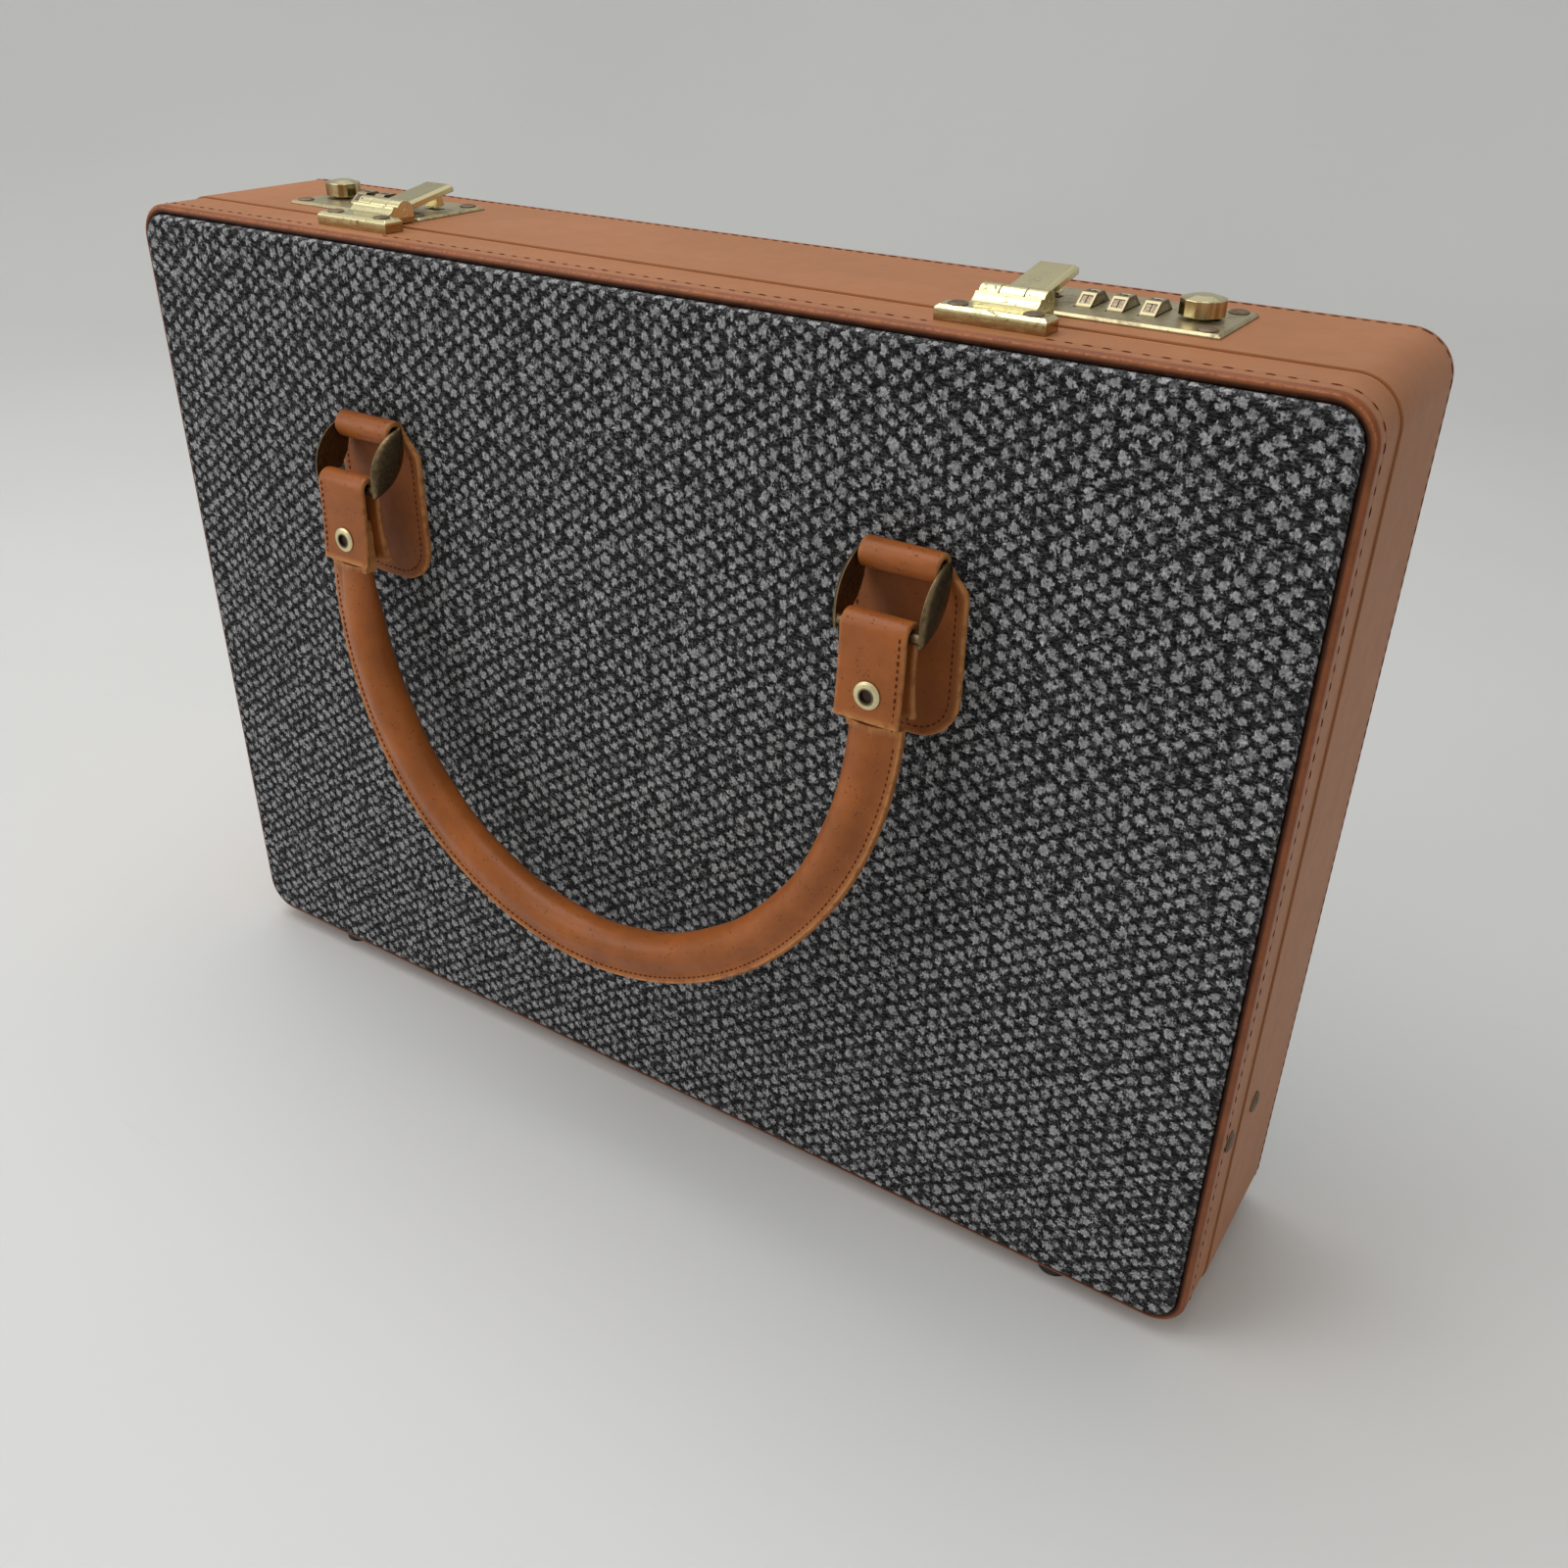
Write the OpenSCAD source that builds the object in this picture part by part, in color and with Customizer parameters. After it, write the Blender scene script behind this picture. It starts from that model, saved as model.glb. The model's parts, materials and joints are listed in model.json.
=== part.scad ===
// Attache case with a tweed panel front and back, two combination locks and a pair of drop handles.
// Origin: middle of the footprint, on the surface under the feet. X is the width, -Y the front, +Z up.

/* [Shell] */
// Outside width of the rear half
shell_w = 440; // [380:1:500]
// Outside height of the rear half, without feet and locks
shell_h = 308; // [280:1:360]
// Depth of the lid, from the front welt to the parting line
lid_d = 20; // [17:0.5:32]
// Depth of the rear half, from the parting line to the back welt
case_d = 58; // [50:1:90]
// Outside corner radius of the rear half
corner_r = 13; // [11:0.5:40]
// Thickness of the wooden walls
wall_t = 5; // [4:0.5:7]
// How much smaller the lid is than the rear half, on each side
lid_inset = 0.6; // [0.2:0.1:1.5]
// Gap between lid and rear half when shut
parting_gap = 0.3; // [0.2:0.1:1]
// Thickness of the front and back boards
board_t = 3; // [2:0.5:5]
// Thickness of the lining
lining_t = 1; // [0.6:0.1:1.5]
// Radius of the half-round welt along the rims
welt_r = 1.6; // [1:0.1:3]

/* [Padded panels] */
// How far a tweed panel stands proud of the welt
pad_proud = 2.3; // [1:0.1:5]
// Radius of the panel's rounded edge
pad_edge_r = 2.2; // [1:0.1:3]

/* [Dust lip] */
// Thickness of the lip that closes the parting line inside
lip_t = 2; // [1.5:0.1:3]
// How far the lip reaches into the lid
lip_into_lid = 5; // [3:0.5:6]
// How far the lip is glued into the rear half
lip_into_case = 9; // [5:0.5:10]
// Height above the shell's bottom where the lip's side legs end
lip_leg_z = 185; // [175:1:230]

/* [Feet and hinges] */
// Height of the feet
foot_h = 4.5; // [4.4:0.1:10]
// Radius of the feet
foot_r = 6; // [4:0.5:7]
// Distance of the feet from the middle, sideways
foot_x = 172; // [165:1:182]
// Distance of the lid's feet from the front welt
foot_front = 9; // [8.5:0.5:10]
// Distance of the rear half's feet from the back welt
foot_back = 11; // [9:0.5:20]
// Distance of the hinges from the middle
hinge_x = 135; // [60:1:145]
// Length of one hinge
hinge_l = 40; // [30:1:44]
// Outside radius of the hinge knuckles
hinge_r = 2; // [1.7:0.05:2]
// Radius of the hinge pins
hinge_pin_r = 0.9; // [0.6:0.05:1]
// Thickness of the hinge leaves
leaf_t = 1; // [0.6:0.1:1.2]
// Reach of the leaf under the rear half
case_leaf_d = 14; // [8:0.5:25]
// Reach of the leaf under the lid
lid_leaf_d = 11; // [8:0.5:13]

/* [Lid stays] */
// Height of the rear half's stay rivets over the hinge axis
stay_case_z = 78.5; // [60:0.5:85]
// Distance of the rear half's stay rivets behind the hinge axis
stay_case_y = 13.5; // [11:0.5:25]
// Height of the lid's stay rivets over the hinge axis
stay_lid_z = 79.5; // [60:0.5:85]
// Half the width of a stay link
stay_half_w = 4.4; // [4:0.1:4.8]
// Thickness of a stay link
stay_t = 1.2; // [0.8:0.1:1.3]
// Radius of the stay rivets' shanks
stay_rivet_r = 1.8; // [1.2:0.1:2.2]
// Radius of the stay rivets' heads
stay_head_r = 3.6; // [3.4:0.1:4.4]

/* [Locks] */
// Distance of the middle of a lock plate from the case's side
lock_inset = 80.9; // [66:0.1:105]
// Distance of the lock plates from the parting line
lock_back = 8.5; // [8:0.5:12]
// Length of a lock plate
plate_l = 64; // [63.5:0.5:75]
// Width of a lock plate
plate_w = 32; // [32:0.5:36]
// Thickness of a lock plate
plate_t = 1.2; // [1:0.1:1.3]
// Thickness of the lock housing's sheet
housing_t = 0.8; // [0.6:0.1:0.8]
// Depth of the lock housing under the plate
housing_h = 13.5; // [13.4:0.1:16]
// Number wheel's radius over its corners
dial_r = 8; // [7.5:0.1:8.1]
// Width of a number wheel
dial_w = 4.4; // [3:0.1:5]
// Distance from one number wheel to the next
dial_pitch = 9; // [8.6:0.1:9.2]
// Depth of the number wheels' axis under the plate's top
dial_drop = 4.4; // [4.2:0.1:5]
// Radius of the number wheels' shaft
dial_shaft_r = 1.5; // [1:0.1:2]
// Radius of the knob over its corners
knob_r = 6.2; // [4:0.1:6.4]
// Height of the knob's faceted side
knob_h = 4.2; // [3:0.1:7]
// Distance of the knob from its plate's outer end
knob_inset = 10.5; // [10:0.1:10.8]
// Travel of the knob
knob_travel = 3; // [1.5:0.1:3]
// Radius of the lock rivets' heads
lock_head_r = 2.8; // [2:0.1:2.9]
// Height of the lock rivets' heads
lock_head_h = 0.8; // [0.5:0.1:0.8]

/* [Hasps] */
// Distance from the middle of a lock plate to the middle of its hasp, towards the middle of the case
hasp_x = 22; // [21.8:0.1:22.3]
// Length of the hasp base
hasp_base_l = 32; // [30:0.5:36]
// Depth of the hasp base
hasp_base_d = 7.7; // [6.5:0.1:7.7]
// Height of the hasp base
hasp_base_h = 4.2; // [3:0.1:4.4]
// Length of the hasp barrel
barrel_l = 19; // [16:0.5:24]
// Radius of the hasp barrel
barrel_r = 3.7; // [3.3:0.1:3.8]
// Length of the hasp's own knuckle in the barrel
hasp_knuckle_l = 7.4; // [5:0.1:9]
// Radius of the hasp pin
hasp_pin_r = 1.1; // [0.8:0.1:1.5]
// Reach of the hasp from its pin
hasp_reach = 27; // [25.5:0.5:29]
// Half the width of the hasp
hasp_half_w = 6; // [4:0.1:6.5]
// Angle at which an unlatched hasp stands up
hasp_tilt = 10; // [10:1:25]

/* [Handles] */
// Distance of the handle anchors from the middle
anchor_x = 104.5; // [90:0.5:115]
// Height of the ring's pivot in its loop, over the shell's bottom
anchor_z = 246; // [235:0.5:250]
// Thickness of the leather
leather_t = 2; // [1.5:0.1:2.5]
// Inside radius of the leather loops
loop_r = 2.5; // [2.1:0.1:2.6]
// Width of the loops
loop_w = 25; // [20:0.5:28]
// Width of the sewn patches
patch_w = 37.5; // [34:0.5:44]
// Height of the sewn patches, from their lower edge to the ring's pivot
patch_h = 54.5; // [45:0.5:65]
// Radius of the round bar of a ring
ring_bar_r = 1.7; // [1.2:0.1:1.8]
// Distance between a ring's two bars
ring_l = 20.5; // [18:0.5:26]
// Width of a ring's leaf-shaped sides
ring_leaf_w = 12.5; // [5:0.5:13]
// Thickness of a ring's leaf-shaped sides
ring_leaf_t = 2.2; // [1.2:0.1:2.5]
// Slant of the ring from upright as it hangs
ring_slant = 36; // [33:1:50]
// Slant of the handle from upright as it hangs
grip_slant = 3; // [3:0.5:10]
// Width of the folded tabs
tab_w = 21; // [18:0.5:24]
// Length of the folded tabs below the ring's lower bar
tab_l = 26.5; // [22:0.5:30]
// Radius of the round part of the grip
grip_r = 7; // [5:0.5:7]
// Reach of the grip's sewn edge from its middle
grip_edge = 10.5; // [9:0.5:12]
// Drop of the grip's bow below its ends
bow_drop = 114.5; // [90:0.5:125]
// Radius of an eyelet's flange
eyelet_r = 4.2; // [3:0.1:5]
// Outside radius of an eyelet's barrel
eyelet_barrel_r = 2.4; // [1.8:0.1:2.6]

/* [Hidden] */
$fn = 48;
run_gap = 0.05;
clear = 0.3;
half_d = (lid_d + case_d) / 2;
part_y = lid_d - half_d;
bottom_z = foot_h;
top_z = bottom_z + shell_h;
mid_z = bottom_z + shell_h / 2;
rim_y = half_d - welt_r;
pad_y = half_d + pad_proud;
lid_w = shell_w - 2 * lid_inset;
lid_h = shell_h - 2 * lid_inset;
lid_r = corner_r - lid_inset;
lid_top_z = top_z - lid_inset;
lid_bottom_z = bottom_z + lid_inset;
lid_lining_back = lip_into_lid + 2;
arc_steps = 6;

hinge_y = part_y;
hinge_drop = 0.1;
hinge_z = bottom_z - hinge_r - hinge_drop;
knuckle_l = hinge_l / 3;
knuckle_gap = 0.15;

case_inner_x = shell_w / 2 - wall_t - lining_t;
stay_gap = 0.3;
case_stay_x = case_inner_x - 0.5 - stay_t;
lid_stay_x = case_stay_x - stay_gap - stay_t;
stay_edge_gap = 0.4;
stay_lid_y = lid_d - welt_r - board_t - lining_t - stay_half_w - stay_edge_gap;
elbow_y = stay_case_y - stay_lid_y;
elbow_z = stay_case_z + stay_lid_z;
stay_head_t = 1.1;
stay_washer_r = stay_head_r - 0.6;
open_pivot_gap = 0.5;

lock_x = shell_w / 2 - lock_inset;
lock_y = part_y + lock_back + plate_w / 2;
knob_x = plate_l / 2 - knob_inset;
plate_chamfer = 0.7;
rivet_inset_x = 4.5;
rivet_inset_y = 3.5;
lock_rivet_r = 1.3;
lock_rivet_x = plate_l / 2 - rivet_inset_x;
lock_rivet_y = plate_w / 2 - rivet_inset_y;
housing_l = plate_l - 4;
housing_w = 2 * (lock_rivet_y - lock_rivet_r - 0.1);
dial_z = plate_t - dial_drop;
window_l = 2 * sqrt(dial_r * dial_r - (dial_drop - plate_t) * (dial_drop - plate_t)) + 2 * clear;
window_w = dial_w + 2 * clear;
bracket_x = dial_pitch + dial_w / 2 + 1.8;
bracket_t = 1;
bracket_half_w = dial_r - 0.5;
bracket_rim = 0.7;
spacer_r = dial_shaft_r + 1.2;
spring_w = 6;
spring_t = 0.4;
spring_finger = 3;
stem_r = 2;
stem_gap = 0.2;
slider_t = 1.2;
slider_drop = 0.4;
slider_arm_w = 1.8;
slider_arm_y = housing_w / 2 - housing_t - 0.2;
finger_w = 1.5;
knob_lift = 1;
knob_crown = 0.9;
collar_r = stem_r + 1.6;
collar_gap = 0.3;

axis_behind = 3.3;
axis_y = part_y + axis_behind;
axis_z = lid_top_z + 4.4;
plate_under_axis = axis_z - top_z - plate_t;
hasp_top = 1.1;
hasp_skin = 1.2;
hasp_flange = plate_under_axis - lock_head_h - 0.4;
hasp_near = barrel_r + 0.6;
hasp_bevel = 0.9;
tongue_y0 = 21;
tongue_y1 = 24;
tongue_half_w = 3;
tongue_depth = plate_under_axis + 3;
slot_gap = 0.4;
saddle_back = barrel_r + 0.1;
saddle_under = 1;
base_ahead = 12.3;
base_front = part_y - base_ahead;
base_rivet_inset = 5.2;
base_rivet_x = hasp_base_l / 2 - base_rivet_inset;
base_rivet_y = base_front + hasp_base_d / 2 - 0.3;
base_head_r = 2.8;
base_head_h = 0.7;
base_rivet_r = 1.3;

loop_out_r = loop_r + leather_t;
patch_corner_r = 14;
patch_shoulder_h = 7;
patch_shoulder_w = 3;
pivot_y = -pad_y - loop_out_r;
pivot_z = bottom_z + anchor_z;
low_bar_y = pivot_y - ring_l * sin(ring_slant);
low_bar_z = pivot_z - ring_l * cos(ring_slant);
leaf_gap = 0.6;
leaf_x = loop_w / 2 + leaf_gap;
leaf_half_l = ring_l / 2 + 2.6;
bar_sink = 0.7;
eyelet_up = 8;
eyelet_z = eyelet_up - tab_l;
eyelet_t = 0.8;
grip_below_tab = 1.4;
grip_top = -tab_l - grip_below_tab;
tongue_w = 14;
tongue_up = 15;
sewn_half_t = 1.4;
tongue_sink = 0.5;
bow_steps = 40;

// Placing helpers: a panel is drawn flat, X across, Y up its height and Z outwards, then stood up.
module stand_front() {
    translate([0, 0, mid_z])
        rotate([90, 0, 0])
            children();
}

module at_rear() {
    rotate([0, 0, 180])
        children();
}

module both_sides() {
    for (side = [0, 1])
        mirror([side, 0, 0])
            children();
}

// side is 1 for the lock on +X, and -1 for its mirror image
module on_side(side) {
    mirror([side < 0 ? 1 : 0, 0, 0])
        children();
}

module at_lock(side) {
    on_side(side)
        translate([lock_x, lock_y, top_z])
            children();
}

module at_hasp(side) {
    on_side(side)
        translate([lock_x - hasp_x, axis_y, axis_z])
            children();
}

module rod_x(r, l) {
    rotate([0, 90, 0])
        cylinder(r = r, h = l, center = true);
}

module rod_from(r, x0, x1) {
    translate([x0, 0, 0])
        rotate([0, 90, 0])
            cylinder(r = r, h = x1 - x0);
}

module rounded_plate(w, h, t, r) {
    translate([-w / 2 + r, -h / 2, 0])
        cube([w - 2 * r, h, t]);
    translate([-w / 2, -h / 2 + r, 0])
        cube([w, h - 2 * r, t]);
    for (x = [-1, 1], y = [-1, 1])
        translate([x * (w / 2 - r), y * (h / 2 - r), 0])
            cylinder(r = r, h = t);
}

module rounded_ring(w, h, t, r, wall) {
    difference() {
        rounded_plate(w, h, t, r);
        translate([0, 0, -1])
            rounded_plate(w - 2 * wall, h - 2 * wall, t + 2, r - wall);
    }
}

// A profile run round a rounded rectangle: its X is the distance outside the outline, its Y the height
module edge_sweep(w, h, r) {
    for (k = [0:3]) {
        across = k % 2 == 0 ? w : h;
        along = k % 2 == 0 ? h : w;
        rotate([0, 0, 90 * k]) {
            translate([across / 2, along / 2 - r, 0])
                rotate([90, 0, 0])
                    linear_extrude(along - 2 * r)
                        children();
            translate([across / 2 - r, along / 2 - r, 0])
                rotate_extrude(angle = 90)
                    translate([r, 0])
                        children();
        }
    }
}

function arc(cx, cy, r, a0, a1, n) = [
    for (i = [0:n]) [cx + r * cos(a0 + (a1 - a0) * i / n), cy + r * sin(a0 + (a1 - a0) * i / n)]
];

module dome_head(r, h) {
    rotate_extrude()
        polygon([[0, 0], [r, 0], [r, 0.35 * h], [0.8 * r, 0.75 * h], [0.45 * r, h], [0, h]]);
}

// Shell
module wall_ring(w, h, r, y0, y1) {
    translate([0, 0, y0])
        rounded_ring(w, h, y1 - y0, r, wall_t);
}

module welt(w, h, r) {
    stand_front()
        translate([0, 0, rim_y])
            edge_sweep(w, h, r)
                polygon(arc(-welt_r, 0, welt_r, 0, 180, 2 * arc_steps));
}

module tweed_panel(w, h, r) {
    inset = 2 * welt_r;
    pad_t = pad_y - rim_y;
    pw = w - 2 * inset;
    ph = h - 2 * inset;
    pr = r - inset;
    stand_front()
        translate([0, 0, rim_y]) {
            rounded_plate(pw - 2 * pad_edge_r, ph - 2 * pad_edge_r, pad_t, pr - pad_edge_r);
            edge_sweep(pw, ph, pr)
                polygon(concat(
                    [[-pad_edge_r, 0], [0, 0]],
                    arc(-pad_edge_r, pad_t - pad_edge_r, pad_edge_r, 0, 90, arc_steps)
                ));
        }
}

module inner_board(w, h, r) {
    stand_front()
        translate([0, 0, rim_y - board_t])
            rounded_plate(w - 2 * wall_t, h - 2 * wall_t, board_t, r - wall_t);
}

module lining(w, h, r, front_y) {
    stand_front()
        translate([0, 0, front_y])
            difference() {
                rounded_plate(w - 2 * wall_t, h - 2 * wall_t, rim_y - board_t - front_y, r - wall_t);
                translate([0, 0, -lining_t])
                    rounded_plate(
                        w - 2 * (wall_t + lining_t),
                        h - 2 * (wall_t + lining_t),
                        rim_y - board_t - front_y,
                        r - wall_t - lining_t
                    );
            }
}

module lock_cutouts() {
    for (side = [-1, 1])
        at_lock(side) {
            translate([-housing_l / 2, -housing_w / 2, -housing_h])
                cube([housing_l, housing_w, housing_h + 1]);
            for (x = [-1, 1], y = [-1, 1])
                translate([x * lock_rivet_x, y * lock_rivet_y, -wall_t - lining_t - 1])
                    cylinder(r = lock_rivet_r, h = wall_t + lining_t + 2);
        }
}

module case_stay_bore() {
    both_sides()
        translate([0, hinge_y + stay_case_y, hinge_z + stay_case_z])
            rod_from(stay_rivet_r, case_inner_x - 1, shell_w / 2 + 1);
}

module lid_stay_bore() {
    both_sides()
        translate([0, hinge_y - stay_lid_y, hinge_z + stay_lid_z])
            rod_from(stay_rivet_r, case_inner_x - 3, shell_w / 2 + 1);
}

module case_frame() {
    color([0.69, 0.49, 0.36])
        difference() {
            at_rear()
                stand_front()
                    wall_ring(shell_w, shell_h, corner_r, part_y + parting_gap / 2, rim_y);
            lock_cutouts();
            case_stay_bore();
        }
}

module lid_frame() {
    color([0.69, 0.49, 0.36])
        difference() {
            stand_front()
                wall_ring(lid_w, lid_h, lid_r, -part_y + parting_gap / 2, rim_y);
            hasp_base_bores();
            lid_stay_bore();
        }
}

module case_back_board() {
    color([0.45, 0.33, 0.22])
        at_rear()
            inner_board(shell_w, shell_h, corner_r);
}

module lid_front_board() {
    color([0.45, 0.33, 0.22])
        inner_board(lid_w, lid_h, lid_r);
}

module rear_tweed_panel() {
    color([0.34, 0.35, 0.37])
        at_rear()
            tweed_panel(shell_w, shell_h, corner_r);
}

module front_tweed_panel() {
    color([0.34, 0.35, 0.37])
        tweed_panel(lid_w, lid_h, lid_r);
}

module rear_welt() {
    color([0.59, 0.31, 0.16])
        at_rear()
            welt(shell_w, shell_h, corner_r);
}

module front_welt() {
    color([0.59, 0.31, 0.16])
        welt(lid_w, lid_h, lid_r);
}

module case_lining() {
    color([0.62, 0.52, 0.4])
        difference() {
            at_rear()
                lining(shell_w, shell_h, corner_r, part_y + parting_gap / 2);
            lock_cutouts();
            case_stay_bore();
        }
}

module lid_lining() {
    color([0.62, 0.52, 0.4])
        difference() {
            lining(lid_w, lid_h, lid_r, -part_y + lid_lining_back);
            hasp_base_bores();
            lid_stay_bore();
        }
}

// A thin board along the top and down both sides, glued inside the rear half, that covers the parting line
module dust_lip() {
    inset = wall_t + lining_t;
    lip_w = shell_w - 2 * inset;
    lip_h = shell_h - 2 * inset;
    lip_d = lip_into_case + lip_into_lid;
    color([0.55, 0.45, 0.34])
        difference() {
            translate([0, part_y + lip_into_case, mid_z])
                rotate([90, 0, 0])
                    rounded_ring(lip_w, lip_h, lip_d, corner_r - inset, lip_t);
            translate([-shell_w / 2, part_y - lip_into_lid - 1, bottom_z])
                cube([shell_w, lip_into_lid + lip_into_case + 2, lip_leg_z]);
        }
}

// Feet and hinges
module foot(y, z) {
    both_sides()
        translate([foot_x, y, 0])
            cylinder(r = foot_r, h = z);
}

module case_feet() {
    color([0.16, 0.12, 0.1])
        foot(half_d - foot_back, bottom_z);
}

module lid_feet() {
    color([0.16, 0.12, 0.1])
        foot(foot_front - half_d, lid_bottom_z);
}

// dir is 1 for the rear half's leaf and -1 for the lid's, knuckles the places of its knuckles along the pin
module hinge_leaf(dir, reach, face_z, knuckles) {
    leaf_start = hinge_r + clear;
    leaf_z = face_z - hinge_z - leaf_t;
    for (x = [-hinge_x, hinge_x])
        translate([x, hinge_y, hinge_z])
            difference() {
                union() {
                    for (k = knuckles)
                        translate([k * knuckle_l, 0, 0]) {
                            rod_x(hinge_r, knuckle_l - 2 * knuckle_gap);
                            translate([-knuckle_l / 2 + knuckle_gap, dir < 0 ? -leaf_start : 0, leaf_z])
                                cube([knuckle_l - 2 * knuckle_gap, leaf_start, leaf_t]);
                        }
                    translate([-hinge_l / 2, dir < 0 ? -reach : leaf_start, leaf_z])
                        cube([hinge_l, reach - leaf_start, leaf_t]);
                }
                rod_x(hinge_pin_r + (dir < 0 ? run_gap : 0), hinge_l + 2);
            }
}

module case_hinge_leaves() {
    color([0.72, 0.63, 0.38])
        hinge_leaf(1, case_leaf_d, bottom_z, [-1, 1]);
}

module lid_hinge_leaves() {
    color([0.72, 0.63, 0.38])
        hinge_leaf(-1, lid_leaf_d, lid_bottom_z, [0]);
}

module hinge_pins() {
    color([0.6, 0.55, 0.4])
        for (x = [-hinge_x, hinge_x])
            translate([x, hinge_y, hinge_z])
                rod_x(hinge_pin_r, hinge_l);
}

// Lid stays: two links on each side that fold flat inside the walls, seen in the plane of the side wall
module stay_link(x0, from, to, bore_from, bore_to) {
    run = norm(to - from);
    translate([x0, from[0], from[1]])
        rotate([atan2(to[1] - from[1], to[0] - from[0]), 0, 0])
            rotate([90, 0, 90])
                difference() {
                    union() {
                        cylinder(r = stay_half_w, h = stay_t);
                        translate([run, 0, 0])
                            cylinder(r = stay_half_w, h = stay_t);
                        translate([0, -stay_half_w, 0])
                            cube([run, 2 * stay_half_w, stay_t]);
                    }
                    translate([0, 0, -1])
                        cylinder(r = bore_from, h = stay_t + 2);
                    translate([run, 0, -1])
                        cylinder(r = bore_to, h = stay_t + 2);
                }
}

case_pivot = [hinge_y + stay_case_y, hinge_z + stay_case_z];
lid_pivot = [hinge_y - stay_lid_y, hinge_z + stay_lid_z];
elbow = [hinge_y + elbow_y, hinge_z + elbow_z];

module case_stay(side) {
    color([0.75, 0.7, 0.5])
        on_side(side)
            stay_link(case_stay_x, case_pivot, elbow, stay_rivet_r + run_gap, stay_rivet_r);
}

module lid_stay(side) {
    color([0.75, 0.7, 0.5])
        on_side(side)
            stay_link(lid_stay_x, lid_pivot, elbow, stay_rivet_r + run_gap, stay_rivet_r + open_pivot_gap);
}

module elbow_rivet(side) {
    head_x = lid_stay_x - stay_gap - stay_head_t;
    color([0.62, 0.56, 0.4])
        on_side(side)
            translate([0, elbow[0], elbow[1]]) {
                rod_from(stay_rivet_r, head_x, case_stay_x + stay_t);
                rod_from(stay_head_r, head_x, head_x + stay_head_t);
            }
}

// A rivet through a side wall: domed head outside, washer on the lining and flat head inside the link
module stay_rivet(at, outer_x, lining_x, link_x) {
    both_sides()
        translate([0, at[0], at[1]]) {
            translate([outer_x, 0, 0])
                rotate([0, 90, 0])
                    dome_head(stay_head_r, stay_head_t);
            rod_from(stay_rivet_r, link_x - stay_gap, outer_x);
            rod_from(stay_head_r, link_x - stay_gap - stay_head_t, link_x - stay_gap);
            if (lining_x - link_x - stay_t > stay_gap)
                rod_from(stay_washer_r, link_x + stay_t + stay_gap, lining_x);
        }
}

module case_stay_rivets() {
    color([0.5, 0.42, 0.27])
        stay_rivet(case_pivot, shell_w / 2, case_inner_x, case_stay_x);
}

module lid_stay_rivets() {
    color([0.5, 0.42, 0.27])
        stay_rivet(lid_pivot, lid_w / 2, lid_w / 2 - wall_t - lining_t, lid_stay_x);
}

// Locks, drawn about the middle of the plate with Z = 0 on the top of the case and +X towards the outer end
module lock_plate(side) {
    slot_y0 = axis_y - lock_y + tongue_y0 - slot_gap;
    slot_y1 = axis_y - lock_y + tongue_y1 + 2.6 * slot_gap;
    color([0.65, 0.6, 0.43])
        at_lock(side)
            difference() {
                bevelled_block(plate_l, plate_w, plate_t, plate_chamfer);
                for (k = [-1:1])
                    translate([k * dial_pitch - window_w / 2, -window_l / 2, -1])
                        cube([window_w, window_l, plate_t + 2]);
                translate([knob_x, -stem_r - stem_gap, -1])
                    cube([knob_travel, 2 * (stem_r + stem_gap), plate_t + 2]);
                for (x = [0, knob_travel])
                    translate([knob_x + x, 0, -1])
                        cylinder(r = stem_r + stem_gap, h = plate_t + 2);
                translate([-hasp_x - tongue_half_w - slot_gap, slot_y0, -1])
                    cube([2 * (tongue_half_w + slot_gap), slot_y1 - slot_y0, plate_t + 2]);
                for (x = [-1, 1], y = [-1, 1])
                    translate([x * lock_rivet_x, y * lock_rivet_y, -1])
                        cylinder(r = lock_rivet_r, h = plate_t + 2);
            }
}

function bevelled_outline(w, h, c) =
    [[-w / 2, 0], [w / 2, 0], [w / 2, h - c], [w / 2 - c, h], [c - w / 2, h], [-w / 2, h - c]];

// A block whose upper edges are bevelled by c, made of slabs turned on edge
module bevelled_block(l, w, h, c) {
    intersection() {
        translate([-l / 2, 0, 0])
            rotate([90, 0, 90])
                linear_extrude(l)
                    polygon(bevelled_outline(w, h, c));
        translate([0, w / 2, 0])
            rotate([90, 0, 0])
                linear_extrude(w)
                    polygon(bevelled_outline(l, h, c));
    }
}

module lock_housing(side) {
    inner_w = housing_w - 2 * housing_t;
    bracket_h = housing_h - housing_t + dial_z + dial_shaft_r + bracket_rim;
    color([0.6, 0.6, 0.58])
        at_lock(side)
            difference() {
                union() {
                    difference() {
                        translate([-housing_l / 2, -housing_w / 2, -housing_h])
                            cube([housing_l, housing_w, housing_h]);
                        translate([-housing_l / 2 + housing_t, -inner_w / 2, housing_t - housing_h])
                            cube([housing_l - 2 * housing_t, inner_w, housing_h]);
                    }
                    for (x = [-bracket_x - bracket_t, bracket_x])
                        translate([x, -bracket_half_w, housing_t - housing_h])
                            cube([bracket_t, 2 * bracket_half_w, bracket_h]);
                }
                translate([0, 0, dial_z])
                    rod_x(dial_shaft_r, 2 * (bracket_x + bracket_t) + 1);
            }
}

module dial_shaft(side) {
    gap = 0.1;
    inner = dial_pitch - dial_w;
    end_l = bracket_x - dial_pitch - dial_w / 2;
    color([0.7, 0.7, 0.68])
        at_lock(side)
            translate([0, 0, dial_z]) {
                rod_x(dial_shaft_r, 2 * (bracket_x + bracket_t));
                for (x = [-dial_pitch / 2, dial_pitch / 2])
                    translate([x, 0, 0])
                        rod_x(spacer_r, inner - 2 * gap);
                for (x = [-1, 1])
                    translate([x * (bracket_x - end_l / 2 + gap / 2), 0, 0])
                        rod_x(spacer_r, end_l - gap);
            }
}

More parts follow.
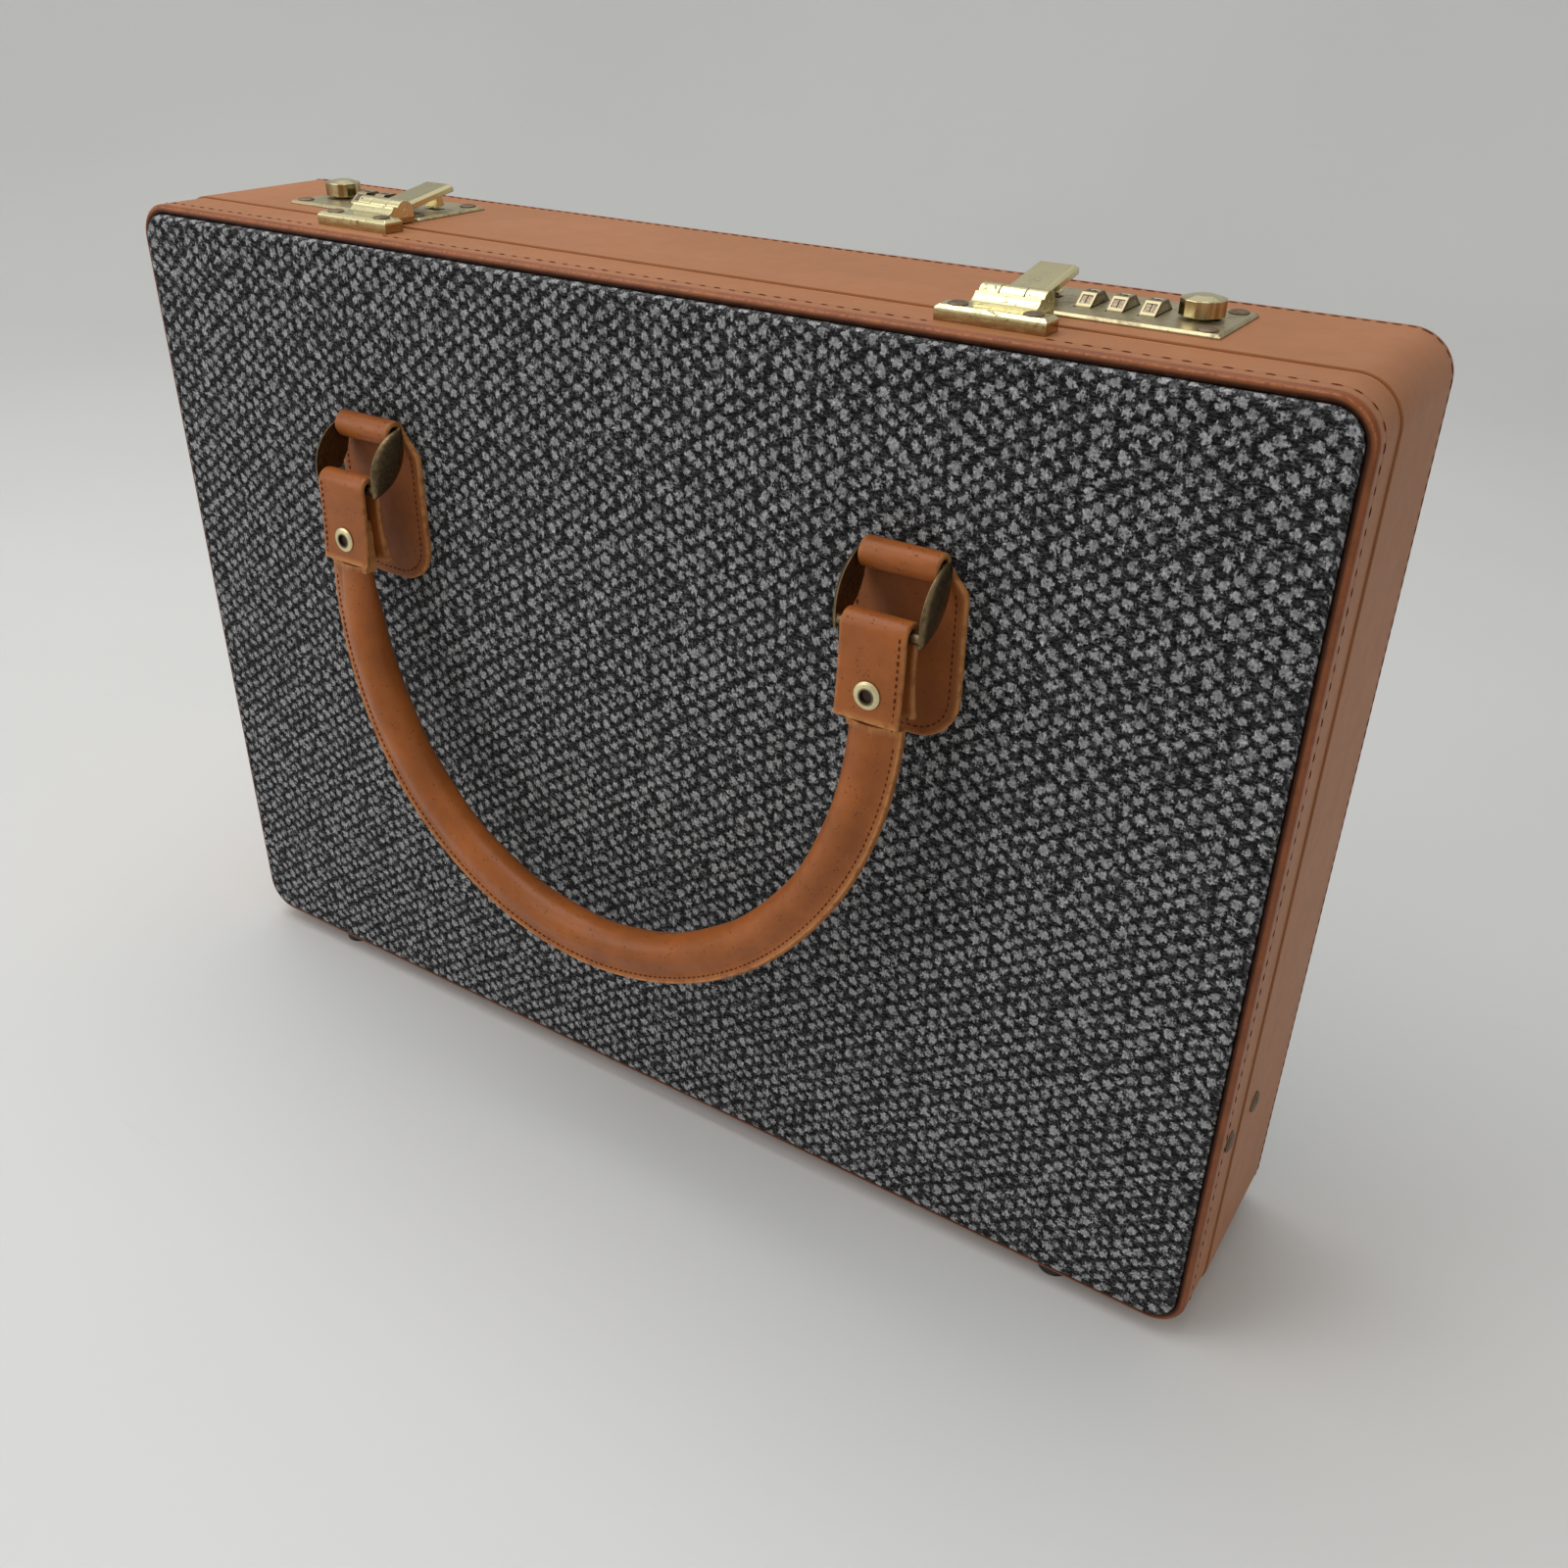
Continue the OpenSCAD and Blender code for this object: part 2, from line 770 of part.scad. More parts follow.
// A number wheel has ten flats, each with a shallow field for its number
module dial(side, k) {
    flat_r = dial_r * cos(18);
    field_w = dial_w - 1.4;
    field_l = 2 * dial_r * sin(18) - 2;
    field_t = 0.2;
    color([0.72, 0.66, 0.45])
        at_lock(side)
            translate([k * dial_pitch, 0, dial_z])
                difference() {
                    rotate([0, 90, 0])
                        rotate([0, 0, 18])
                            cylinder(r = dial_r, h = dial_w, center = true, $fn = 10);
                    rod_x(dial_shaft_r + run_gap, dial_w + 1);
                    for (i = [0:9])
                        rotate([36 * i, 0, 0])
                            translate([-field_w / 2, -field_l / 2, flat_r - field_t])
                                cube([field_w, field_l, 1]);
                }
}

// A leaf spring on the housing's floor, with one raised finger under each number wheel
module detent_spring(side) {
    floor_z = housing_t - housing_h;
    finger_h = dial_z - dial_r - clear - floor_z - spring_t;
    color([0.66, 0.66, 0.64])
        at_lock(side)
            translate([0, 0, floor_z]) {
                translate([clear - bracket_x, -spring_w / 2, 0])
                    cube([2 * (bracket_x - clear), spring_w, spring_t]);
                for (k = [-1:1])
                    translate([k * dial_pitch - spring_finger / 2, -spring_finger / 2, spring_t])
                        cube([spring_finger, spring_finger, finger_h]);
            }
}

module lock_rivets() {
    color([0.5, 0.42, 0.27])
        for (side = [-1, 1])
            at_lock(side)
                for (x = [-1, 1], y = [-1, 1])
                    translate([x * lock_rivet_x, y * lock_rivet_y, 0]) {
                        translate([0, 0, -wall_t - lining_t])
                            cylinder(r = lock_rivet_r, h = wall_t + lining_t + plate_t);
                        translate([0, 0, plate_t])
                            dome_head(lock_head_r, lock_head_h);
                    }
}

// The knob slides the latch outwards along the plate's slot
module knob(side) {
    side_z = plate_t + knob_lift;
    color([0.78, 0.68, 0.36])
        at_lock(side)
            translate([knob_x, 0, 0]) {
                translate([0, 0, -slider_drop - slider_t])
                    cylinder(r = stem_r, h = slider_drop + slider_t + side_z);
                translate([0, 0, plate_t + collar_gap])
                    cylinder(r = collar_r, h = knob_lift - collar_gap);
                translate([0, 0, side_z])
                    cylinder(r = knob_r, h = knob_h, $fn = 12);
                translate([0, 0, side_z + knob_h])
                    cylinder(r1 = knob_r, r2 = knob_r * 0.45, h = knob_crown, $fn = 12);
            }
}

// Flat latch under the plate, whose arm passes beside the number wheels to a finger at the hasp's tongue
module latch_slider(side) {
    tongue_edge = -hasp_x + tongue_half_w;
    finger_x0 = tongue_edge + clear;
    slider_x1 = housing_l / 2 - housing_t - knob_travel - 0.4;
    slider_x0 = bracket_x + bracket_t + 0.6;
    tongue_mid = axis_y - lock_y + (tongue_y0 + tongue_y1) / 2;
    color([0.62, 0.62, 0.6])
        at_lock(side)
            difference() {
                translate([0, 0, -slider_drop - slider_t]) {
                    translate([slider_x0, -slider_arm_y, 0])
                        cube([slider_x1 - slider_x0, slider_arm_y + 4, slider_t]);
                    translate([finger_x0, -slider_arm_y, 0])
                        cube([slider_x1 - finger_x0, slider_arm_w, slider_t]);
                    translate([finger_x0, -slider_arm_y, 0])
                        cube([finger_w, slider_arm_y + tongue_mid + 0.8, slider_t]);
                }
                translate([knob_x, 0, -slider_drop - slider_t - 1])
                    cylinder(r = stem_r, h = slider_t + 2);
            }
}

// Hasps, drawn about the middle of the barrel's axis
module at_base_rivets() {
    for (side = [-1, 1], x = [-1, 1])
        on_side(side)
            translate([lock_x - hasp_x + x * base_rivet_x, base_rivet_y, lid_top_z])
                children();
}

module hasp_base_bores() {
    at_base_rivets()
        translate([0, 0, -wall_t - lining_t - 1])
            cylinder(r = base_rivet_r, h = wall_t + lining_t + hasp_base_h + 2);
}

module hasp_base(side) {
    front = base_front - axis_y;
    top = lid_top_z + hasp_base_h - axis_z;
    foot_z = lid_top_z - axis_z;
    back = front + hasp_base_d;
    sweep_r = 4.4;
    sweep_to = 62;
    knuckle_gap_r = barrel_r + clear;
    color([0.8, 0.72, 0.45])
        difference() {
            union() {
                at_hasp(side)
                    translate([0, (front + back) / 2, foot_z])
                        bevelled_block(hasp_base_l, hasp_base_d, hasp_base_h, plate_chamfer + 0.2);
                at_hasp(side)
                    translate([-barrel_l / 2, 0, 0])
                        rotate([90, 0, 90])
                            linear_extrude(barrel_l)
                                polygon(concat(
                                    [[back - 1, top - 1], [back - 1, foot_z + saddle_under]],
                                    [[saddle_back, foot_z + saddle_under], [saddle_back, 0]],
                                    arc(0, 0, barrel_r, 0, 150, 3 * arc_steps),
                                    arc(back - 1, top + sweep_r, sweep_r, sweep_to - 90, -90, arc_steps)
                                ));
            }
            at_hasp(side) {
                rod_x(knuckle_gap_r, hasp_knuckle_l + 2 * knuckle_gap);
                translate([-hasp_knuckle_l / 2 - knuckle_gap, 0, -knuckle_gap_r])
                    cube([hasp_knuckle_l + 2 * knuckle_gap, 2 * barrel_r, 3 * barrel_r]);
                rod_x(hasp_pin_r, barrel_l + 2);
            }
            hasp_base_bores();
        }
}

module hasp_base_rivets() {
    color([0.5, 0.42, 0.27])
        at_base_rivets() {
            translate([0, 0, -wall_t - lining_t])
                cylinder(r = base_rivet_r, h = wall_t + lining_t + hasp_base_h);
            translate([0, 0, hasp_base_h])
                dome_head(base_head_r, base_head_h);
        }
}

module hasp_pins() {
    color([0.7, 0.66, 0.5])
        for (side = [-1, 1])
            at_hasp(side)
                rod_x(hasp_pin_r, barrel_l);
}

// A folded sheet: bevelled top, flanges at sides and far end, a knuckle on the pin and a tongue for the latch
module hasp(side) {
    under = -hasp_flange;
    skin_z = hasp_top - hasp_skin;
    flange_t = 1;
    body_l = hasp_reach - hasp_near;
    body_h = hasp_top - under;
    hollow_l = body_l + 1 - flange_t;
    arm_w = hasp_knuckle_l - 2 * knuckle_gap;
    color([0.86, 0.8, 0.52])
        at_hasp(side)
            rotate([hasp_tilt, 0, 0])
                difference() {
                    union() {
                        difference() {
                            translate([0, (hasp_near + hasp_reach) / 2, under])
                                bevelled_block(2 * hasp_half_w, body_l, body_h, hasp_bevel);
                            translate([flange_t - hasp_half_w, hasp_near - 1, under - 1])
                                cube([2 * (hasp_half_w - flange_t), hollow_l, skin_z - under + 1]);
                        }
                        rod_x(barrel_r, arm_w);
                        translate([-arm_w / 2, 0, skin_z])
                            cube([arm_w, hasp_near + 1.5, hasp_skin]);
                        difference() {
                            translate([-tongue_half_w, tongue_y0, -tongue_depth])
                                cube([2 * tongue_half_w, tongue_y1 - tongue_y0, tongue_depth + skin_z + 0.2]);
                            translate([tongue_half_w - 1, tongue_y0 - 1, -tongue_depth + 0.6])
                                cube([2, tongue_y1 - tongue_y0 + 2, slider_t + 0.3]);
                        }
                    }
                    rod_x(hasp_pin_r + run_gap, hasp_knuckle_l + 2);
                }
}

// Handles, drawn for the front
module at_anchors() {
    both_sides()
        translate([anchor_x, 0, 0])
            children();
}

module at_low_bar() {
    at_anchors()
        translate([0, low_bar_y, low_bar_z])
            rotate([-grip_slant, 0, 0])
                children();
}

// A sewn leather patch whose narrow upper end is folded round the ring's bar
module handle_patch() {
    low = pivot_z - patch_h;
    bow_r = patch_corner_r;
    shoulder_z = pivot_z - patch_shoulder_h;
    neck_x = loop_w / 2 + patch_shoulder_w;
    neck_z = shoulder_z + patch_shoulder_w;
    at_anchors()
        difference() {
            union() {
                translate([0, -pad_y, 0])
                    rotate([90, 0, 0])
                        linear_extrude(leather_t)
                            polygon(concat(
                                arc(patch_w / 2 - bow_r, low + bow_r, bow_r, -90, 0, arc_steps),
                                [[patch_w / 2, shoulder_z], [neck_x, neck_z]],
                                [[loop_w / 2, pivot_z], [-loop_w / 2, pivot_z]],
                                [[-neck_x, neck_z], [-patch_w / 2, shoulder_z]],
                                arc(bow_r - patch_w / 2, low + bow_r, bow_r, 180, 270, arc_steps)
                            ));
                translate([0, pivot_y, pivot_z])
                    rod_x(loop_out_r, loop_w);
            }
            translate([0, pivot_y, pivot_z])
                rod_x(loop_r, loop_w + 2);
        }
}

// Ring with two round bars joined by leaf-shaped sides
module rings() {
    b = ring_leaf_w / 2;
    lens_r = (leaf_half_l * leaf_half_l + b * b) / (2 * b);
    at_anchors()
        translate([0, pivot_y, pivot_z])
            rotate([-ring_slant, 0, 0]) {
                for (z = [0, -ring_l])
                    translate([0, 0, z])
                        rod_x(ring_bar_r, 2 * (leaf_x + bar_sink));
                for (side = [0, 1])
                    mirror([side, 0, 0])
                        translate([leaf_x, 0, -ring_l / 2])
                            intersection() {
                                translate([0, lens_r - b, 0])
                                    rod_from(lens_r, 0, ring_leaf_t, $fn = 96);
                                translate([0, b - lens_r, 0])
                                    rod_from(lens_r, 0, ring_leaf_t, $fn = 96);
                            }
            }
}

module grip_tabs() {
    at_low_bar()
        difference() {
            union() {
                rod_x(loop_out_r, tab_w);
                translate([-tab_w / 2, -loop_out_r, -tab_l])
                    cube([tab_w, 2 * loop_out_r, tab_l]);
            }
            rod_x(loop_r, tab_w + 2);
            translate([-tab_w / 2 - 1, -loop_r, -tab_l - 1])
                cube([tab_w + 2, 2 * loop_r, tab_l + 1]);
            translate([0, 0, eyelet_z])
                rotate([90, 0, 0])
                    cylinder(r = eyelet_barrel_r, h = 4 * loop_out_r, center = true);
        }
}

module eyelets() {
    at_low_bar()
        translate([0, 0, eyelet_z])
            rotate([90, 0, 0])
                difference() {
                    union() {
                        cylinder(r = eyelet_barrel_r, h = 2 * loop_out_r, center = true);
                        translate([0, 0, loop_out_r])
                            dome_head(eyelet_r, eyelet_t);
                        mirror([0, 0, 1])
                            translate([0, 0, loop_out_r])
                                dome_head(eyelet_r, eyelet_t);
                    }
                    translate([0, 0, loop_out_r - 2])
                        cylinder(r = eyelet_barrel_r - 0.5, h = eyelet_t + 4);
                }
}

// Section of the grip: round, with the sewn edge of the leather standing out on the outside of the bow
section = concat(
    [[grip_edge, sewn_half_t]],
    arc(0, 0, grip_r, 30, 330, 12),
    [[grip_edge, -sewn_half_t]]
);

// The bow is half an ellipse below the two ends; a ring of section points stands square to it at angle t
function bow_ring(t, ends_x) =
    let (
        px = ends_x * cos(t),
        pz = -bow_drop * sin(t),
        n = [cos(t) / ends_x, -sin(t) / bow_drop],
        u = n / norm(n)
    )
    [for (s = section) [px + s[0] * u[0], s[1], pz + s[0] * u[1]]];

module grip_bow() {
    m = len(section);
    rows = [for (i = [0:bow_steps]) bow_ring(180 * i / bow_steps, anchor_x)];
    faces = concat(
        [[for (j = [0:m - 1]) m - 1 - j]],
        [for (i = [0:bow_steps - 1], j = [0:m - 1])
            [(i + 1) * m + (j + 1) % m, (i + 1) * m + j, i * m + j]],
        [for (i = [0:bow_steps - 1], j = [0:m - 1])
            [i * m + (j + 1) % m, (i + 1) * m + (j + 1) % m, i * m + j]],
        [[for (j = [0:m - 1]) bow_steps * m + j]]
    );
    polyhedron([for (row = rows, p = row) p], faces);
}

// Both ends of the grip run up between the layers of the tabs as a flat tongue
module grip() {
    difference() {
        union() {
            translate([0, low_bar_y, low_bar_z])
                rotate([-grip_slant, 0, 0])
                    translate([0, 0, grip_top])
                        grip_bow();
            at_low_bar()
                translate([-tongue_w / 2, -loop_r, grip_top - tongue_sink])
                    cube([tongue_w, 2 * loop_r, tongue_up + tongue_sink]);
        }
        at_low_bar()
            translate([0, 0, eyelet_z])
                rotate([90, 0, 0])
                    cylinder(r = eyelet_barrel_r, h = 4 * loop_out_r, center = true);
    }
}

leather = [0.65, 0.37, 0.2];
antique = [0.43, 0.39, 0.29];

module front_handle_patches() {
    color(leather)
        handle_patch();
}

module rear_handle_patches() {
    color(leather)
        at_rear()
            handle_patch();
}

module front_rings() {
    color(antique)
        rings();
}

module rear_rings() {
    color(antique)
        at_rear()
            rings();
}

module front_grip() {
    color(leather)
        grip();
}

module rear_grip() {
    color(leather)
        at_rear()
            grip();
}

module front_grip_tabs() {
    color(leather)
        grip_tabs();
}

module rear_grip_tabs() {
    color(leather)
        at_rear()
            grip_tabs();
}

module front_eyelets() {
    color([0.8, 0.74, 0.55])
        eyelets();
}

module rear_eyelets() {
    color([0.8, 0.74, 0.55])
        at_rear()
            eyelets();
}

case_frame();
case_back_board();
rear_tweed_panel();
rear_welt();
case_lining();
dust_lip();
case_hinge_leaves();
hinge_pins();
case_feet();
lock_plate(-1);  // lock_plate_left
lock_plate(1);  // lock_plate_right
lock_housing(-1);  // lock_housing_left
lock_housing(1);  // lock_housing_right
dial_shaft(-1);  // dial_shaft_left
dial_shaft(1);  // dial_shaft_right
detent_spring(-1);  // detent_spring_left
detent_spring(1);  // detent_spring_right
lock_rivets();
case_stay_rivets();
rear_handle_patches();
lid_frame();
lid_front_board();
front_tweed_panel();
front_welt();
lid_lining();
lid_hinge_leaves();
lid_feet();
hasp_base(-1);  // hasp_base_left
hasp_base(1);  // hasp_base_right
hasp_base_rivets();
hasp_pins();
lid_stay_rivets();
front_handle_patches();
hasp(-1);  // hasp_left
hasp(1);  // hasp_right
dial(-1, -1);  // dial_left_1
dial(-1, 0);  // dial_left_2
dial(-1, 1);  // dial_left_3
dial(1, -1);  // dial_right_1
dial(1, 0);  // dial_right_2
dial(1, 1);  // dial_right_3
knob(-1);  // knob_left
knob(1);  // knob_right
latch_slider(-1);  // latch_slider_left
latch_slider(1);  // latch_slider_right
case_stay(-1);  // case_stay_left
case_stay(1);  // case_stay_right
lid_stay(-1);  // lid_stay_left
lid_stay(1);  // lid_stay_right
elbow_rivet(-1);  // elbow_rivet_left
elbow_rivet(1);  // elbow_rivet_right
front_rings();
rear_rings();
front_grip();
rear_grip();
front_grip_tabs();
rear_grip_tabs();
front_eyelets();
rear_eyelets();
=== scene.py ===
"""Dresses the frame of an attache case.

The case has a tan vinyl shell, tweed panels, brass locks and leather drop handles.
"""

import json
import math
from functools import cache

import bmesh
import bpy
import numpy as np
from mathutils import Matrix, Vector


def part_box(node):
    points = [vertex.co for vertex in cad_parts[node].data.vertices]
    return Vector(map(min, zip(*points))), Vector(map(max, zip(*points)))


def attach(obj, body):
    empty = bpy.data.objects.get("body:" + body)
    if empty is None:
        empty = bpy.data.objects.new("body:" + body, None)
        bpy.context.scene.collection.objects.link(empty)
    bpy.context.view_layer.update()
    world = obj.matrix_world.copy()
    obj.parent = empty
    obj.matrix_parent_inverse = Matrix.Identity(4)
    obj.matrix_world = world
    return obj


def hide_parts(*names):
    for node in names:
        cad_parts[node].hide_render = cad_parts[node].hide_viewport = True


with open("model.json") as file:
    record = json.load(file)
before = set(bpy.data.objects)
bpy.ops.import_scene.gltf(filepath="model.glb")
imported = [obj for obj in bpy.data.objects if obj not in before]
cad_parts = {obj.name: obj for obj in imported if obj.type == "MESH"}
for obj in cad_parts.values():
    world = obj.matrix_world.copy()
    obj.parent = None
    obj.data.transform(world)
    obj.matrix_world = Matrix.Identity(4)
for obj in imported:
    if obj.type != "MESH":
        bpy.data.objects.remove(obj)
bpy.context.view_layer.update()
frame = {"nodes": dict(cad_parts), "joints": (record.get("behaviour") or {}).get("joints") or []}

bl_info = {
    "name": "Attache Case",
    "version": (1, 0, 0),
    "blender": (4, 5, 0),
    "location": "3D View > Sidebar > Case",
    "description": "Finishes and soft pieces of a tweed and leather attache case",
    "category": "Object",
}

MM = 0.001
NODES = frame["nodes"]
JOINTS = {joint["name"]: joint for joint in frame["joints"]}

# Places that the frame gives
PAD_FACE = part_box("front_tweed_panel")[0].y
LID_LOW, LID_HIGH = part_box("lid_frame")
CASE_LOW, CASE_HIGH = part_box("case_frame")
PIVOT = Vector(JOINTS["front_rings"]["pos_m"])
LOW_BAR = Vector(JOINTS["front_handle"]["pos_m"])
RING_LENGTH = (PIVOT - LOW_BAR).length
RING_SLANT = math.atan2(PIVOT.y - LOW_BAR.y, PIVOT.z - LOW_BAR.z)

# Each face, the body that carries it, and the turn that brings a piece there from the front
FACES = (("front", "lid", Matrix.Identity(4)), ("rear", "case", Matrix.Rotation(math.pi, 4, "Z")))

# Sizes of the shell and its fittings, as the frame has them
WELT_R = 1.6 * MM
CASE_R = 13 * MM
LID_R = 12.4 * MM
HASP_X = 117.5 * MM
HASP_HALF = 17 * MM
FOOT_X = 172 * MM
FOOT_HALF = 7 * MM
WHEEL_SIDES = 10
SHOWN_DIGIT = 2
DIGIT_NARROW, DIGIT_RAISED, DIGIT_BOLDER = 0.62, 0.04 * MM, 0.1 * MM
DIALS = [f"dial_{side}_{k}" for side in ("left", "right") for k in (1, 2, 3)]
EYELET_COLOUR = (0.84, 0.79, 0.62)

# Sizes of the leather fittings, as the frame has them
ANCHOR_X = 104.5 * MM
LEATHER_T = 2 * MM
LOOP_R = 2.5 * MM
LOOP_W = 25 * MM
PATCH_W = 37.5 * MM
PATCH_H = 54.5 * MM
PATCH_CORNER = 14 * MM
PATCH_SHOULDER = 7 * MM
TAB_W = 21 * MM
TAB_L = 26.5 * MM
GRIP_R = 7 * MM
GRIP_SLANT = math.radians(3)
GRIP_LEAN = math.radians(26)
GRIP_TOP = -27.9 * MM
BOW_DROP = 114.5 * MM

# Brings a piece drawn about the rings' lower bars to its place on the front face
HANDLE_PLACE = Matrix.Translation(LOW_BAR) @ Matrix.Rotation(-GRIP_SLANT, 4, "X")

# Shapes of the leather in millimetres, each with the mark of its cut edges.
# The patch's eased edge: how far in, how deep and the mark
PATCH_EDGE = ((0, 0.05, 0.9), (0, 1.3, 1), (0.25, 1.75, 0.9), (0.7, 2.0, 0.25), (1.6, 2.02, 0), (4, 1.9, 0))
# Half of the grip's sewn edge: distance from the middle line, half thickness and the mark
SEWN_EDGE = (6.9, 2.6, 0), (8.2, 1.75, 0), (9.6, 1.5, 0.3), (10.3, 1.35, 1), (10.5, 0.9, 1), (10.5, 0.1, 0.2)
# Its two rows of stitches: distance from the middle line, and half of the way between them
SEAM_OUT, SEAM_HALF = 8.6, 1.72
# The grip's tongue: height, half width and half thickness
TONGUE = ((-30, 7, 2.4), (-27, 7.4, 2.4), (-20, 7, 2.3), (-14, 6.8, 2.2), (-12, 6.2, 2.1), (-11.4, 5.6, 1.9))

# The padded cloth in millimetres: how far its edges are rolled, and the steps inwards over its face
ROLL = 2.4
PAD_STEPS = (0, 0.15, 0.4, 0.8, 1.3, 1.9, 2.6, 3.6, 5, 8, 12, 18, 26, 36, 50, 66, 84, 104, 124, 146)

# The stage in metres: the floor's inner and flat radius, the bend round it and the backdrop's top
FLOOR_HUB, FLOOR_FLAT, FLOOR_BEND, FLOOR_TOP, FLOOR_SIDES = 0.4, 1.25, 0.9, 1.6, 72
# Each lamp's name, place, aim, size and power
LAMPS = (
    ("overhead", (-0.35, -0.1, 1.5), (0, 0, 0.15), 1.3, 12),
    ("front_left", (-1.2, -1.3, 1.0), (0, 0, 0.2), 1.2, 9.5),
    ("front_right", (1.3, -1.1, 0.9), (0, 0, 0.2), 1.0, 0.4),
)
SKY_COLOUR, SKY_STRENGTH, SKY_SEEN = (0.985, 0.985, 0.98), 0.42, (0.9, 0.9, 0.9)

# The camera, as the case's own right angles give it in the photograph
CAMERA_PLACE = (0.2804, -0.3809, 0.3983)
CAMERA_FORWARD = Vector((-0.46463, 0.72787, -0.50430))
CAMERA_RIGHT = Vector((0.83793, 0.54556, 0.01540))
CAMERA_LENS, CAMERA_SENSOR, CAMERA_NEAR = 33.33, 36, 0.01


def middle_of(node):
    """The middle of a CAD node's box."""
    low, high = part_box(node)
    return (low + high) / 2


def linear(colour):
    """The linear light of a colour written as the eye sees it, 0 to 1."""
    return tuple(c / 12.92 if c <= 0.04045 else ((c + 0.055) / 1.055) ** 2.4 for c in colour)


def shade(colour, factor):
    """The same colour, lighter or darker."""
    return tuple(min(1.0, c * factor) for c in colour)


def tone(name, text, colour):
    """A colour property, written as the eye sees it."""
    default = [c / 255 for c in colour]
    return bpy.props.FloatVectorProperty(
        name=name, description=text, subtype="COLOR_GAMMA", size=3, min=0, max=1, default=default
    )


def length(name, text, millimetres):
    """A length property, given in millimetres."""
    return bpy.props.FloatProperty(
        name=name, description=text, subtype="DISTANCE", unit="LENGTH", min=0, default=millimetres * MM
    )


class CaseColours(bpy.types.PropertyGroup):
    """Colours of the case's finishes."""

    vinyl: tone("Vinyl", "Tan covering of the shell", (169, 111, 71))
    welt: tone("Welt", "Welts along both rims", (134, 74, 40))
    leather: tone("Leather", "Patches, tabs and grips", (155, 87, 38))
    raw_edge: tone("Raw edge", "Cut edges of the leather", (190, 130, 76))
    thread: tone("Thread", "Stitches", (84, 38, 23))
    tweed_light: tone("Tweed nubs", "Light nubs of the tweed", (222, 222, 224))
    tweed_dark: tone("Tweed ground", "Ground of the tweed", (38, 38, 39))
    bright_brass: tone("Bright brass", "Hasps and their bases", (216, 206, 160))
    aged_brass: tone("Aged brass", "Lock plates and wheels", (184, 172, 136))
    rivet_brass: tone("Rivet brass", "Rivets", (122, 106, 88))
    antique: tone("Antique bronze", "Handle rings", (134, 114, 84))
    lining: tone("Lining", "Cloth inside both halves", (166, 140, 108))
    floor: tone("Floor", "Floor and backdrop", (222, 222, 220))


class CaseSizes(bpy.types.PropertyGroup):
    """Sizes that only the looks have."""

    lid_pitch: length("Lid stitch pitch", "From one of the lid's stitches to the next", 5.0)
    lid_stitch: length("Lid stitch length", "Length of the lid's stitches", 2.7)
    case_pitch: length("Rear stitch pitch", "From one of the rear half's stitches to the next", 4.0)
    case_stitch: length("Rear stitch length", "Length of the rear half's stitches", 3.1)
    fine_pitch: length("Handle stitch pitch", "From one handle stitch to the next", 2.2)
    fine_stitch: length("Handle stitch length", "Length of a handle stitch", 1.5)
    thread_width: length("Thread width", "Width of the thread", 0.5)
    lid_row_back: length("Lid row", "Lid's stitches behind the front welt", 5.6)
    case_row_ahead: length("Rear row", "Rear half's stitches ahead of the back welt", 3.4)
    nub_across: length("Nub columns", "From one column of tweed nubs to the next", 3.79)
    nub_upward: length("Nub rise", "From one tweed nub to the next in its column", 5.35)
    digit_height: length("Digit height", "Height of the wheels' numbers", 3.8)


# Node building


class Wire:
    """A node's output. Arithmetic on it adds Math nodes."""

    def __init__(self, nodes, socket):
        self.nodes, self.socket = nodes, socket

    def other(self, name):
        """Another output of the same node."""
        return Wire(self.nodes, self.socket.node.outputs[name])

    def __add__(self, other):
        return self.nodes.math("ADD", self, other)

    __radd__ = __add__

    def __sub__(self, other):
        return self.nodes.math("SUBTRACT", self, other)

    def __rsub__(self, other):
        return self.nodes.math("SUBTRACT", other, self)

    def __mul__(self, other):
        return self.nodes.math("MULTIPLY", self, other)

    __rmul__ = __mul__

    def __pow__(self, other):
        return self.nodes.math("POWER", self, other)

    def __abs__(self):
        return self.nodes.math("ABSOLUTE", self)

    def smooth(self, low, high):
        """0 below low and 1 above high, or the other way round where low is the larger."""
        return self.nodes.node("MapRange", {"interpolation_type": "SMOOTHSTEP"}, self, low, high, 0.0, 1.0)

    def near(self, place, width):
        """1 at place, and 0 from width away."""
        return abs(self - place).smooth(width, 0.0)


class Nodes:
    """A node tree, and the one way to add any node to it."""

    def __init__(self, tree, prefix=""):
        self.tree, self.prefix = tree, prefix

    def node(self, kind, settings=None, *values, out=None, **links):
        """Adds a node with its settings, its inputs in order or by name, and returns one of its outputs."""
        node = self.tree.nodes.new(self.prefix + kind)
        for key, value in (settings or {}).items():
            setattr(node, key, value)
        sockets = [socket for socket in node.inputs if socket.enabled]
        for socket, value in zip(sockets, values):
            self.feed(socket, value)
        for key, value in links.items():
            self.feed(next(s for s in sockets if s.name.lower().replace(" ", "_") == key), value)
        outs = [socket for socket in node.outputs if socket.enabled]
        return Wire(self, next((socket for socket in outs if socket.name == out), outs[0]))

    def feed(self, socket, value):
        """Links a wire to a socket, or sets the socket's own value."""
        if isinstance(value, Wire):
            self.tree.links.new(value.socket, socket)
        elif socket.type == "RGBA":
            socket.default_value = (*value, 1)
        else:
            socket.default_value = value

    def math(self, operation, *values):
        """One Math node."""
        return self.node("Math", {"operation": operation}, *values)

    def vector(self, operation, *values, **more):
        """One Vector Math node."""
        return self.node("VectorMath", {"operation": operation}, *values, **more)


